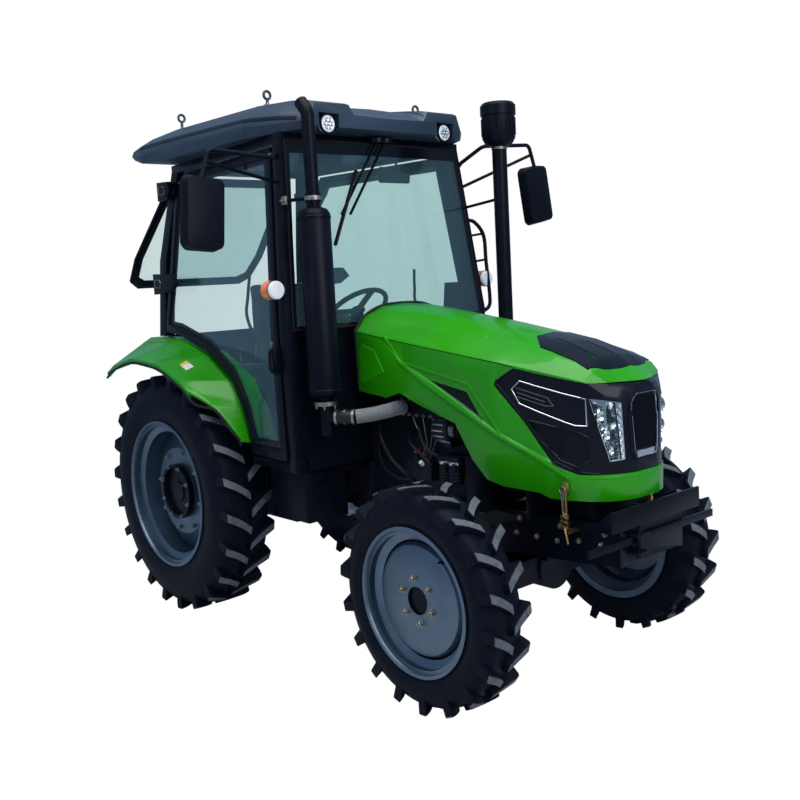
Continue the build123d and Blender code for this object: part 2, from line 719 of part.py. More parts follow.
# the doors turn about a line that leans with the rear pillar
hinge_x = at(-330)
hinge_y = 572.0
hinge_z = 1920.0
hinge_lean_x = 0.03
hinge_lean_y = -0.09
hinge_fixed_half = 20.0
hinge_reach = 52.0
# z of a hinge, x where its strap ends on the door
hinge_places = (
    (1920, at(-205)),
    (2470, at(-70)),
)


def hinge_point(sign, z):
    """Give the point of a door's hinge line at a height."""
    return (hinge_x + hinge_lean_x * (z - hinge_z), sign * (hinge_y + hinge_lean_y * (z - hinge_z)), z)


def door_slab(sign, depth0, depth1, mode=Mode.ADD):
    """Add or cut the door's bent sheet between two depths in from its outer face."""
    stations = []
    for z in (sill_z - 60, waist_z, door_top_z + 60):
        back_half = side_half(door_rear_x - 200, z)
        fore_half = side_half(door_front_x + 100, z)
        outline = (
            (door_rear_x - 200, sign * (back_half - depth0)),
            (door_front_x + 100, sign * (fore_half - depth0)),
            (door_front_x + 100, sign * (fore_half - depth1)),
            (door_rear_x - 200, sign * (back_half - depth1)),
        )
        stations.append((z, outline))
    loft_z(stations, mode=mode)


for side, sign in sides:
    with BuildPart() as door:
        door_slab(sign, 0, door_thickness)
        prism_y(door_outline, -900, 900, mode=Mode.INTERSECT)
        prism_y(door_opening, -900, 900, mode=Mode.SUBTRACT)
        for z, strap_end in hinge_places:
            for end in (-1, 1):
                near = hinge_point(sign, z + end * (hinge_fixed_half + running_gap))
                rod(near, hinge_point(sign, z + end * hinge_reach), hinge_pin)
                middle_z = z + end * (hinge_fixed_half + hinge_reach + running_gap) / 2
                start = hinge_point(sign, middle_z)
                edge = (strap_end, sign * (side_half(strap_end, middle_z) + 1), middle_z)
                beam(start, edge, 9, 24)
        latch = (
            (at(930), 1545), (at(1078), 1545), (at(1072), 1838), (at(945), 1838), (at(915), 1700),
        )
        with BuildPart(mode=Mode.PRIVATE) as latch_box:
            door_slab(sign, glass_thickness + 11, 52)
            prism_y(latch, -900, 900, mode=Mode.INTERSECT)
        add(latch_box.part)
        side_block(sign, at(1076), at(1098), side_half(at(1087), 1500) - 4, side_half(at(1087), 1500) + 22, 1430, 1560)
    save(door.part, f"door_{side}")

    with BuildPart() as door_glass:
        door_slab(sign, 10, 10 + glass_thickness)
        prism_y(door_opening, -900, 900, mode=Mode.INTERSECT)
    save(door_glass.part, f"door_glass_{side}")

# z, x behind, x ahead, y inner, y outer of each pillar station
front_pillar = (
    (cab_floor_z - floor_plate, at(1128), at(1188), 632, 694),
    (waist_z, at(1130), at(1192), 640, 702),
    (2590, at(1046), at(1106), 552, 614),
)
rear_pillar = (
    (1600, at(-420), at(-340), 496, 556),
    (2060, at(-370), at(-290), 482, 541),
    (2590, at(-236), at(-160), 426, 484),
)
header_z = 2572.0
rear_hinge = (at(-300), 2570)
rear_open = radians(46)
rear_lug_y = 300.0
rear_lug_width = 12.0

with BuildPart() as cab_frame:
    for side, sign in sides:
        for pillar in (front_pillar, rear_pillar):
            stations = []
            for z, x0, x1, y0, y1 in pillar:
                stations.append((z, ((x0, sign * y0), (x1, sign * y0), (x1, sign * y1), (x0, sign * y1))))
            loft_z(stations)
        rail = (
            (at(-236), sign * 426),
            (at(1106), sign * 552),
            (at(1106), sign * 614),
            (at(-236), sign * 484),
        )
        prism_z(rail, header_z, roof_under_z - seat_gap)
        sill = (
            (at(745), sign * 628),
            (at(1140), sign * 634),
            (at(1140), sign * 690),
            (at(745), sign * 664),
        )
        prism_z(sill, cab_floor_z - floor_plate, cab_floor_z + 24)
        for z, strap_end in hinge_places:
            x, y, _ = hinge_point(sign, z)
            rod(hinge_point(sign, z - hinge_fixed_half), hinge_point(sign, z + hinge_fixed_half), hinge_pin)
            block_outline = (
                (x - 10, y + sign * 4),
                (x + 12, y + sign * 4),
                (x + 12, y - sign * 42),
                (x - 30, y - sign * 42),
            )
            prism_z(block_outline, z - hinge_fixed_half + 4, z + hinge_fixed_half - 4)
        plate = (
            (at(-232), header_z + 6),
            (at(-232), roof_under_z - 8),
            (rear_hinge[0], rear_hinge[1] + 14),
            (rear_hinge[0] - 14, rear_hinge[1]),
            (rear_hinge[0], rear_hinge[1] - 14),
        )
        side_prism(sign, plate, rear_lug_y, rear_lug_y + rear_lug_width)
        rod((rear_hinge[0], sign * rear_lug_y, rear_hinge[1]),
            (rear_hinge[0], sign * (rear_lug_y + rear_lug_width), rear_hinge[1]), 14)
    block(at(1046), at(1106), -560, 560, header_z, roof_under_z - seat_gap)
    block(at(-236), at(-176), -440, 440, header_z, roof_under_z - seat_gap)
save(cab_frame.part, "cab_frame")

deck_front_x = at(430)
cab_back_x = at(-440)
wall_plate = 10.0
firewall_half = 627.7
firewall_top_z = 1640.0

with BuildPart() as cab_body:
    block(cab_back_x, deck_front_x, -inner_wall_y, inner_wall_y, deck_z - floor_plate, deck_z)
    block(deck_front_x - 20, deck_front_x, -inner_wall_y, inner_wall_y, cab_floor_z, deck_z)
    block(deck_front_x - 20, at(1160), -inner_wall_y, inner_wall_y, cab_floor_z - floor_plate, cab_floor_z)
    block(at(745), at(1160), -firewall_half, firewall_half, cab_floor_z - floor_plate, cab_floor_z)
    firewall = (
        (-firewall_half, firewall_top_z), (-firewall_half, 1010), (-600, cab_floor_z - floor_plate),
        (600, cab_floor_z - floor_plate), (firewall_half, 1010), (firewall_half, firewall_top_z),
    )
    prism_x(firewall, at(1160), at(1180))
    block(cab_back_x, cab_back_x + 20, -inner_wall_y, inner_wall_y, deck_z, 1599.7)
    for side, sign in sides:
        wall = (
            (cab_back_x, deck_z),
            (deck_front_x - 10, deck_z),
            (deck_front_x - 10, cab_floor_z),
            (at(745), cab_floor_z),
            (at(700), 1080),
            (at(600), 1260),
            (at(340), 1430),
            (at(0), 1540),
            (cab_back_x, 1590),
        )
        side_prism(sign, wall, inner_wall_y - wall_plate, inner_wall_y)
        bracket = (
            (at(1180), 1560), (at(1180), 1636), (at(1240), 1636), (hood_hinge_x - 12, hood_hinge_z + 4),
            (hood_hinge_x + 4, hood_hinge_z - 12), (at(1268), 1560),
        )
        side_prism(sign, bracket, 110 - hinge_plate, 110)
        rod((hood_hinge_x, sign * (110 - hinge_plate), hood_hinge_z), (hood_hinge_x, sign * 110, hood_hinge_z),
            hinge_pin)
        bracket_foot = ((at(1165), 1560), (at(1165), 1636), (at(1182), 1636), (at(1182), 1560))
        side_prism(sign, bracket_foot, 110 - hinge_plate, 110)
save(cab_body.part, "cab_body")

screen_bulge = 30.0
# z, x of the rear face at the edge, half width
screen_stations = (
    (1644, at(1192.8), 668),
    (waist_z, at(1192.8), 665),
    (2588, at(1107.4), 588),
)
with BuildPart() as cab_glass:
    stations = []
    for z, x, half in screen_stations:
        front = []
        back = []
        for share in (-1.0, -0.62, -0.25, 0.25, 0.62, 1.0):
            bow = screen_bulge * (1 - share * share)
            back.append((x + bow, share * half))
            front.append((x + bow + glass_thickness, share * half))
        stations.append((z, back + front[::-1]))
    loft_z(stations)
save(cab_glass.part, "cab_glass")

# x, under half, under z, band half, band z, edge half, edge z, shoulder half, shoulder z,
# inner half, inner z, valley half, valley z, middle z
roof_stations = (
    (-480, 596, 2682, 614, 2704, 600, 2732, 540, 2746, 262, 2750, 225, 2751, 2752),
    (-300, 640, 2640, 655, 2690, 642, 2738, 560, 2786, 262, 2800, 225, 2801, 2802),
    (0, 650, 2622, 660, 2686, 644, 2738, 556, 2800, 262, 2819, 225, 2821, 2822),
    (850, 650, 2622, 660, 2678, 640, 2722, 548, 2792, 262, 2816, 225, 2818, 2820),
    (1080, 604, 2622, 614, 2664, 596, 2708, 505, 2784, 262, 2786, 228, 2772, 2778),
    (1200, 552, 2626, 562, 2662, 545, 2700, 500, 2768, 264, 2768, 232, 2724, 2716),
    (1242, 506, 2640, 518, 2664, 508, 2690, 486, 2752, 270, 2754, 238, 2706, 2702),
)
# x, z of the lifting eyes' centres
lifting_eyes = ((881, 2844), (-15, 2868))
eye_y = 513.0
eye_radius = 20.0
eye_wire = 7.0
lamp_y = 398.0
with BuildPart() as roof:
    stations = []
    for row in roof_stations:
        (x, under, under_z, band, band_z, edge, edge_z, shoulder, shoulder_z, inner, inner_z,
         valley, valley_z, middle_z) = row
        half = [(under, under_z), (band, band_z), (edge, edge_z), (shoulder, shoulder_z),
                (inner, inner_z), (valley, valley_z)]
        mirrored = [(-y, z) for y, z in reversed(half)]
        stations.append((at(x), half + [(0, middle_z)] + mirrored))
    loft_x(stations)
    for side, sign in sides:
        side_block(sign, at(1186), at(1260), lamp_y - 62, lamp_y + 62, 2600, 2706, mode=Mode.SUBTRACT)
        for x, z in lifting_eyes:
            rod((at(x), sign * eye_y, 2780), (at(x), sign * eye_y, z - 18), 8)
            with BuildSketch(Plane.XY.move(Location((at(x), sign * eye_y + eye_radius, z)))) as ring:
                Circle(eye_wire)
            revolve(ring.sketch, axis=Axis((at(x), sign * eye_y, z), (1, 0, 0)))
save(roof.part, "roof")


def rear_pane_point(along, out):
    """Give x, z of a point on the open rear window, along its height and out from its face."""
    x = rear_hinge[0] - along * sin(rear_open) - out * cos(rear_open)
    z = rear_hinge[1] - along * cos(rear_open) + out * sin(rear_open)
    return (x, z)


# along the pane, half width
rear_edge = ((20, 430), (120, 452), (700, 492), (900, 470), (960, 400))
rear_hole = ((75, 380), (150, 402), (690, 440), (860, 420), (900, 360))


def rear_slab(edge, out0, out1, mode=Mode.ADD):
    """Add or cut a slab of the rear window from its edge points, between two distances out."""
    origin = (rear_hinge[0], 0, rear_hinge[1])
    down = (-sin(rear_open), 0, -cos(rear_open))
    outward = (-cos(rear_open), 0, sin(rear_open))
    start = Vector(*origin) + Vector(*outward) * out0
    points = list(edge) + [(along, -half) for along, half in reversed(edge)]
    handed = 1 if Vector(*outward).cross(Vector(*down)).Y > 0 else -1
    with BuildSketch(Plane(origin=start, x_dir=down, z_dir=outward)) as outline:
        Polygon(*[(along, handed * half) for along, half in points], align=None)
    extrude(outline.sketch, amount=out1 - out0, mode=mode)


with BuildPart() as rear_window:
    rear_slab(rear_edge, 0, 18)
    rear_slab(rear_hole, -5, 30, mode=Mode.SUBTRACT)
    moving_lug_y = rear_lug_y + rear_lug_width + running_gap
    for side, sign in sides:
        strap = (rear_pane_point(-14, -7), rear_pane_point(60, -7), rear_pane_point(60, 17),
                 rear_pane_point(-14, 7))
        side_prism(sign, strap, moving_lug_y, moving_lug_y + rear_lug_width)
        rod((rear_hinge[0], sign * moving_lug_y, rear_hinge[1]),
            (rear_hinge[0], sign * (moving_lug_y + rear_lug_width), rear_hinge[1]), 14)
save(rear_window.part, "rear_window")

with BuildPart() as rear_glass:
    rear_slab(rear_hole, 6, 12)
save(rear_glass.part, "rear_glass")

# x, z along the fender's top, by the cab and at its outer edge
fender_inner = ((-620, 1500), (-457, 1595), (-98, 1589), (264, 1502), (537, 1363), (653, 1213), (720, 1030))
fender_outer = ((-600, 1390), (-500, 1440), (-244, 1492), (65, 1466), (320, 1378), (531, 1254), (730, 1090))
fender_plate = 12.0
fender_lip = 34.0
fender_half = 845.0


def fender_band(points, plate):
    """Close a fender's top line with a copy brought in towards the wheel by the plate."""
    top = [(at(x), z) for x, z in points]
    under = []
    for x, z in reversed(top):
        run = Vector(x - rear_axle_x, z - rear_tyre_radius, 0)
        inward = run.normalized() * -plate
        under.append((x + inward.X, z + inward.Y))
    return tuple(top + under)


with BuildPart() as fenders:
    for side, sign in sides:
        loft_y((
            (sign * (inner_wall_y + seat_gap), fender_band(fender_inner, fender_plate)),
            (sign * 600, fender_band(fender_inner, fender_plate)),
            (sign * fender_half, fender_band(fender_outer, fender_plate)),
        ))
        side_prism(sign, fender_band(fender_outer, fender_lip), fender_half - 9, fender_half)
        corner = (
            (at(400), sign * (fender_half + 1)),
            (at(760), sign * 700),
            (at(760), sign * (fender_half + 15)),
            (at(400), sign * (fender_half + 15)),
        )
        prism_z(corner, 900, 1600, mode=Mode.SUBTRACT)
save(fenders.part, "fenders")

with BuildPart() as seat:
    block(at(150), at(620), -240, 240, 1300, 1420)
    fillet(seat.edges().group_by(Axis.Z)[-1], 34)
    with BuildPart(mode=Mode.PRIVATE) as backrest:
        with BuildSketch(Plane.YZ.offset(at(80))) as back:
            with Locations((0, 1420 + seat_gap + 239)):
                RectangleRounded(450, 478, 90)
        extrude(back.sketch, amount=110)
    add(backrest.part)
save(seat.part, "seat")

wheel_centre = (at(882), 0, 1700)
wheel_axis = (-0.62, 0, 0.785)
with BuildPart() as console:
    block(at(200), at(560), -180, 180, deck_z + seat_gap, 1299.7)
    prism_y(((at(960), cab_floor_z + seat_gap), (at(1159.7), cab_floor_z + seat_gap), (at(1159.7), 1590),
             (at(1010), 1560), (at(975), 1440)), -170, 170)
    prism_y(((at(1000), 1470), (at(1159.7), 1500), (at(1159.7), 1620), (at(1040), 1610)), -480, 480)
    column_top = Vector(*wheel_centre) - Vector(*wheel_axis) * running_gap
    rod((at(1040), 0, 1500), tuple(column_top), 24)
    for side, sign in sides:
        side_block(sign, at(60), at(400), 300, 440, deck_z + seat_gap, 1400)
save(console.part, "console")

with BuildPart() as steering_wheel:
    column = Plane(origin=wheel_centre, z_dir=wheel_axis)
    with Locations(Location(column)):
        with Locations((0, 0, 12)):
            Torus(180, 14)
    with BuildSketch(column) as hub:
        Circle(45)
        Rectangle(350, 30)
        with Locations((0, -90)):
            Rectangle(30, 180)
    extrude(hub.sketch, amount=18)
save(steering_wheel.part, "steering_wheel")

# ---- exhaust and intake ----
stack_x = at(1296)
stack_y = -568.0
with BuildPart() as exhaust:
    muffler = (
        (0, 1310), (52, 1310), (80, 1330), (80, 2205), (66, 2228), (36, 2240), (0, 2240),
    )
    turned_z(stack_x, stack_y, muffler)
    pipe(((stack_x, stack_y, 2235), (stack_x, stack_y, 2690), (stack_x - 50, stack_y, 2745)), 33, 60)
    rod((stack_x, stack_y, 1120), (stack_x, stack_y, 1312), 34)
    turned_z(stack_x, stack_y, ((0, 1270), (56, 1270), (56, 1290), (0, 1290)))
    pipe(((stack_x, stack_y, 1208), (stack_x + 120, -480, 1208), (at(1530), -320, 1236),
          (at(1530), -240.4, 1236)), 31, 40)
    rod((stack_x, stack_y, 2262), (stack_x, stack_y, 2304), 40)
    rod((stack_x - 156.5, -630, 2283), (stack_x - 30, -590, 2283), 9)
save(exhaust.part, "exhaust")

intake_x = at(1473)
intake_y = 575.0
with BuildPart() as intake:
    rod((intake_x, intake_y, 1420), (intake_x, intake_y, 2576), 40)
    cleaner = (
        (0, 2560), (60, 2560), (76, 2575), (90, 2600), (90, 2718), (96, 2722), (96, 2772), (84, 2784), (0, 2784),
    )
    turned_z(intake_x, intake_y, cleaner)
    pipe(((intake_x, intake_y, 1440), (intake_x, intake_y, 1226), (intake_x, 245.3, 1226)), 36, 60)
    rod((at(1139), 634, 2262), (intake_x - 30, intake_y + 5, 2280), 8)
save(intake.part, "intake")

# side sign, glass centre x, y, z, lean in degrees
mirror_places = (
    (1, at(1250), 1120, 2330, 10),
    (-1, at(1200), 1120, 2215, 5),
)
with BuildPart() as mirrors:
    for sign, x, y, z, lean in mirror_places:
        with Locations(Location((x, sign * y, z), (sign * lean, 0, 0))):
            with BuildPart(mode=Mode.PRIVATE) as head:
                with BuildSketch(Plane.YZ.offset(-30)) as face:
                    RectangleRounded(205, 340, 42)
                extrude(face.sketch, amount=60, taper=9)
            add(head.part)
        rod((at(1084), sign * 623.7, 2510), (at(1084), sign * 654, 2510), 15)
        pipe(((at(1084), sign * 646, 2510), (x - 20, sign * 700, z + 268),
              (x, sign * (y - 50), z + 290), (x, sign * y, z + 150)), 11, 36)
        rod((at(1098), sign * 639.5, 2378), (x - 2, sign * (y - 26), z + 236), 9)
        rod((x - 10, sign * (y - 250), z + 205), (x - 12, sign * (y - 250), z + 283), 8)
save(mirrors.part, "mirrors")

with BuildPart() as signal_lamps:
    for side, sign in sides:
        rod((at(1148), sign * 687.2, 1850), (at(1148), sign * 742, 1850), 9)
        rod((at(1112), sign * 738, 1850), (at(1186), sign * 738, 1850), 44)
save(signal_lamps.part, "signal_lamps")

with BuildPart() as work_lamps:
    for side, sign in sides:
        lamp = ((0, 0), (30, 0), (44, 18), (46, 40), (40, 46), (0, 48))
        with BuildSketch(Plane(origin=(at(1186.3), sign * lamp_y, 2656), x_dir=(0, 0, 1), z_dir=(0, 1, 0))) as half:
            Polygon(*[(radius, reach) for radius, reach in lamp], align=None)
        revolve(half.sketch, axis=Axis((at(1186.3), sign * lamp_y, 2656), (1, 0, 0)))
        rod((at(-480.3), sign * 420, 2712), (at(-512), sign * 420, 2712), 38)
save(work_lamps.part, "work_lamps")

with BuildPart() as wipers:
    block(at(1106.5), at(1172), -70, 70, 2592, 2618)
    for y in (-28, 28):
        beam((at(1166), y, 2606), (at(1194), y - 290, 2215), 14, 8)
    beam((at(1172), -190, 2440), (at(1206), -380, 2060), 16, 12)
save(wipers.part, "wipers")

# ---- rear hitch ----
arm_inner_y = housing_half + running_gap
arm_outer_y = 345.0
rod_y = arm_outer_y + running_gap

with BuildPart() as lift_arms:
    for side, sign in sides:
        rod((lift_shaft_x, sign * arm_inner_y, lift_shaft_z), (lift_shaft_x, sign * 250, lift_shaft_z), 36)
        beam((lift_shaft_x, sign * 225, lift_shaft_z), (lift_eye_x, sign * 325, lift_eye_z), 34, 60)
        rod((lift_eye_x, sign * 306, lift_eye_z), (lift_eye_x, sign * arm_outer_y, lift_eye_z), 30)
save(lift_arms.part, "lift_arms")

with BuildPart() as lower_links:
    for side, sign in sides:
        rod((link_pivot_x, sign * (ear_outer_y + running_gap), link_pivot_z),
            (link_pivot_x, sign * 290, link_pivot_z), 36)
        beam((link_pivot_x, sign * 270, link_pivot_z), (link_end_x + 30, sign * link_eye_y, link_end_z), 30, 60)
        rod((link_end_x, sign * link_eye_y - 22.5, link_end_z), (link_end_x, sign * link_eye_y + 22.5, link_end_z),
            42)
        rod((link_end_x, sign * link_eye_y - 30, link_end_z), (link_end_x, sign * link_eye_y + 30, link_end_z),
            link_pin_radius, mode=Mode.SUBTRACT)
save(lower_links.part, "lower_links")

with BuildPart() as lift_rods:
    for side, sign in sides:
        rod((lift_eye_x, sign * rod_y, lift_eye_z), (lift_eye_x, sign * (rod_y + 42), lift_eye_z), 27)
        rod((lift_eye_x, sign * (rod_y + 24), lift_eye_z), (at(-640), sign * (rod_y + 24), 530), 17)
        rod((at(-640), sign * (rod_y + 4), 525), (at(-640), sign * (rod_y + 44), 525), 26)
save(lift_rods.part, "lift_rods")

box_top_z = cab_floor_z - floor_plate - seat_gap
with BuildPart() as side_boxes:
    prism_x(((332, 600), (372, 560), (580, 560), (620, 600), (620, 860), (590, box_top_z), (332, box_top_z)),
            at(770), at(1150))
    rod((at(960), 600, 850), (at(960), 655, 872), 32)
    prism_x(((-332, 640), (-590, 640), (-600, 660), (-600, 900), (-590, box_top_z), (-332, box_top_z)),
            at(800), at(1120))
    for z in (470, 700):
        block(at(860), at(1110), 640, 800, z, z + 20)
    for x in (870, 1086):
        block(at(x), at(x + 14), 610, 650, 470, box_top_z - 60)
save(side_boxes.part, "side_boxes")
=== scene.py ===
"""Looks of the compact cab tractor: materials, fine pieces, stage, camera and light."""

import json
import logging
import math
from dataclasses import dataclass, field
from enum import Enum
from functools import partial

import bmesh
import bpy
from mathutils import Matrix, Vector
from mathutils.bvhtree import BVHTree

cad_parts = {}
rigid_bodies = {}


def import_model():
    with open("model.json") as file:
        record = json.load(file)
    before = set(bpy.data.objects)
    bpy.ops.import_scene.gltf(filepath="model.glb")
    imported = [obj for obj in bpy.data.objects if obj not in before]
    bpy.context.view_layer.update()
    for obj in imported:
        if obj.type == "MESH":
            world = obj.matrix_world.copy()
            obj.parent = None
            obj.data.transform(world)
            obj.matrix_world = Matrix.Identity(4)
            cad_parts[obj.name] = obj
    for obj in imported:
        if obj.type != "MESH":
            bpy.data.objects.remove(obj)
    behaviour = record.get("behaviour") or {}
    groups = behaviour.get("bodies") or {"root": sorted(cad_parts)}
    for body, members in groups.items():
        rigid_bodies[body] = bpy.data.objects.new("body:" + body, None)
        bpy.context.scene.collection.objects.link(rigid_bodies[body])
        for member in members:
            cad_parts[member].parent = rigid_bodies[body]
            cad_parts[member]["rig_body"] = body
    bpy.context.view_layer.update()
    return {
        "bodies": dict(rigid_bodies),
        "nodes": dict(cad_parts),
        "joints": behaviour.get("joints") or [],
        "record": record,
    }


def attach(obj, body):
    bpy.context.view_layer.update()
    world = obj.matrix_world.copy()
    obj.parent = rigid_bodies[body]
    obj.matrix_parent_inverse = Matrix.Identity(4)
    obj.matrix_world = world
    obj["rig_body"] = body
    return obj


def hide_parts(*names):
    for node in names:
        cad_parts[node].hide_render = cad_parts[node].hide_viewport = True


log = logging.getLogger("tractor")

MM = 0.001
REAR_AXLE_X = -0.85
GLASS_INDEX = 1.5
# how far the edges of what lies on a face go under it, in millimetres
SINK = 1.0
SIDES = (("left", 1), ("right", -1))
UP, DOWN, AHEAD, BACK = (0, 0, 1), (0, 0, -1), (1, 0, 0), (-1, 0, 0)


def at(x: float) -> float:
    """Turn millimetres ahead of the rear axle into a row coordinate.

    Args:
        x: distance ahead of the rear axle, in millimetres.

    Returns:
        The row coordinate in metres.
    """
    return REAR_AXLE_X + x * MM


def spot(x: float, y: float, z: float) -> Vector:
    """Give the row point of x ahead of the rear axle, y and z, in millimetres."""
    return Vector((at(x), y * MM, z * MM))


def row(point) -> Vector:
    """Give the row point of a point in millimetres, or a row point as it is."""
    return point if isinstance(point, Vector) else spot(*point)


def around(count: int, start: float = 0.0) -> list[tuple[float, float, float]]:
    """Give evenly spread turns with their cosines and sines."""
    turns = [start + 2 * math.pi * step / count for step in range(count)]
    return [(turn, math.cos(turn), math.sin(turn)) for turn in turns]


class Kind(Enum):
    """The families of finish."""

    PAINT = "paint"
    PLASTIC = "plastic"
    METAL = "metal"
    RUBBER = "rubber"
    FABRIC = "fabric"
    GLASS = "glass"
    LENS = "lens"
    CLEAR = "clear"


# the share of haze in what is seen through
HAZE = {Kind.GLASS: 0.07, Kind.CLEAR: 0.02}
HAZE_COLOR = (0.16, 0.34, 0.42, 1)


@dataclass(frozen=True)
class Finish:
    """One named finish: colour, gloss and the size and depth of its unevenness."""

    name: str
    kind: Kind
    color: tuple[float, float, float]
    second: tuple[float, float, float]
    rough: float = 0.4
    rough_spread: float = 0.12
    grain: float = 40.0
    bump: float = 0.02
    dust: float = 0.0
    coat: float = 0.0
    slot: str = ""
    shine: float = 0.5


FINISHES = {
    f.name: f
    for f in (
        Finish("green_paint", Kind.PAINT, (0.02, 0.29, 0.0015), (0.015, 0.24, 0.001), 0.27, 0.05, 5, 0.004,
               coat=0.24, shine=0.22),
        Finish("mask_black", Kind.PLASTIC, (0.0025, 0.0035, 0.0085), (0.0045, 0.006, 0.0125), 0.24, 0.06, 8,
               0.004, shine=0.2),
        Finish("chassis_black", Kind.PAINT, (0.002, 0.0032, 0.0075), (0.004, 0.0056, 0.011), 0.34, 0.12, 18,
               0.02, shine=0.09),
        Finish("cast_grey", Kind.PAINT, (0.005, 0.007, 0.0125), (0.009, 0.0115, 0.0185), 0.45, 0.12, 60, 0.1,
               dust=0.01, shine=0.14),
        Finish("rim_paint", Kind.METAL, (0.135, 0.185, 0.245), (0.105, 0.148, 0.2), 0.4, 0.1, 12, 0.015,
               coat=0.1),
        Finish("tyre", Kind.RUBBER, (0.003, 0.0044, 0.01), (0.006, 0.008, 0.0155), 0.46, 0.14, 55, 0.1,
               shine=0.06),
        # painted highlight: the pale colour given to the lugs' top faces
        Finish("lug_top_highlight", Kind.RUBBER, (0.105, 0.12, 0.138), (0.03, 0.036, 0.046), 0.55, 0.14, 38, 0.15,
               dust=0.05, slot="tyre"),
        Finish("bright_steel", Kind.METAL, (0.55, 0.55, 0.57), (0.42, 0.42, 0.44), 0.28, 0.12, 30, 0.02,
               dust=0.03),
        Finish("latch_brass", Kind.METAL, (0.62, 0.42, 0.14), (0.5, 0.34, 0.12), 0.32, 0.12, 30, 0.02,
               dust=0.02),
        Finish("roof_plastic", Kind.PLASTIC, (0.02, 0.038, 0.066), (0.015, 0.03, 0.054), 0.42, 0.1, 90, 0.05),
        Finish("black_plastic", Kind.PLASTIC, (0.0025, 0.0036, 0.008), (0.005, 0.0065, 0.012), 0.38, 0.12,
               120, 0.05, shine=0.09),
        Finish("seat_fabric", Kind.FABRIC, (0.02, 0.02, 0.024), (0.03, 0.03, 0.034), 0.85, 0.08, 220, 0.2),
        Finish("cab_glass", Kind.GLASS, (0.86, 0.945, 0.935), (0.83, 0.93, 0.92), 0.03, 0.02, 3, 0),
        Finish("lamp_lens", Kind.LENS, (0.86, 0.88, 0.9), (0.8, 0.82, 0.86), 0.06, 0.03, 60, 0.05),
        Finish("amber_lens", Kind.LENS, (0.95, 0.22, 0.03), (0.85, 0.16, 0.02), 0.1, 0.05, 60, 0.05,
               slot="lamp_lens"),
        Finish("red_lens", Kind.LENS, (0.6, 0.02, 0.02), (0.5, 0.01, 0.01), 0.1, 0.05, 60, 0.05,
               slot="lamp_lens"),
        Finish("chrome", Kind.METAL, (0.8, 0.81, 0.83), (0.7, 0.71, 0.74), 0.1, 0.05, 10, 0,
               slot="bright_steel"),
        Finish("mirror_glass", Kind.METAL, (0.86, 0.89, 0.9), (0.82, 0.85, 0.87), 0.02, 0.01, 4, 0,
               slot="bright_steel"),
        Finish("worn_zinc", Kind.METAL, (0.36, 0.34, 0.28), (0.22, 0.2, 0.17), 0.42, 0.16, 70, 0.05,
               dust=0.05, slot="bright_steel"),
        Finish("rubber", Kind.RUBBER, (0.0045, 0.0052, 0.008), (0.008, 0.009, 0.012), 0.52, 0.12, 90, 0.05,
               dust=0.01, slot="black_plastic", shine=0.2),
        # very dark matte: the real dark seams and grille slats, and painted shade in the cheek recesses and
        # the exhaust outlet
        Finish("dark_mesh_and_painted_shade", Kind.PAINT, (0.0012, 0.0018, 0.0042), (0.0025, 0.0035, 0.0065), 0.5, 0.12, 90,
               0.02, slot="mask_black", shine=0.2),
        Finish("heat_wrap", Kind.FABRIC, (0.2, 0.21, 0.22), (0.1, 0.11, 0.12), 0.85, 0.1, 90, 0.35, dust=0.02,
               slot="chassis_black"),
        Finish("hose", Kind.RUBBER, (0.006, 0.0068, 0.0095), (0.011, 0.012, 0.015), 0.46, 0.12, 90, 0.05,
               dust=0.02, slot="chassis_black", shine=0.3),
        Finish("hydraulic_blue", Kind.PAINT, (0.24, 0.36, 0.5), (0.18, 0.28, 0.4), 0.35, 0.1, 20, 0.02,
               dust=0.06, coat=0.2, slot="cast_grey"),
        Finish("cap_red", Kind.PLASTIC, (0.5, 0.025, 0.02), (0.4, 0.02, 0.015), 0.35, 0.08, 60, 0.02,
               dust=0.02, slot="black_plastic"),
        Finish("plain_white", Kind.PAINT, (0.72, 0.72, 0.7), (0.62, 0.62, 0.6), 0.4, 0.08, 30, 0.01,
               dust=0.03, slot="bright_steel"),
        Finish("label_yellow", Kind.PAINT, (0.7, 0.5, 0.05), (0.6, 0.42, 0.04), 0.4, 0.08, 30, 0.01,
               slot="bright_steel"),
        Finish("roof_dark", Kind.PLASTIC, (0.004, 0.007, 0.014), (0.0065, 0.01, 0.018), 0.34, 0.1, 90, 0.03,
               slot="roof_plastic", shine=0.25),
        Finish("reflector", Kind.METAL, (0.88, 0.89, 0.9), (0.8, 0.81, 0.83), 0.12, 0.08, 40, 0.03,
               slot="lamp_lens"),
        Finish("clear_lens", Kind.CLEAR, (0.9, 0.94, 0.95), (0.84, 0.9, 0.92), 0.03, 0.02, 30, 0,
               slot="lamp_lens"),
    )
}


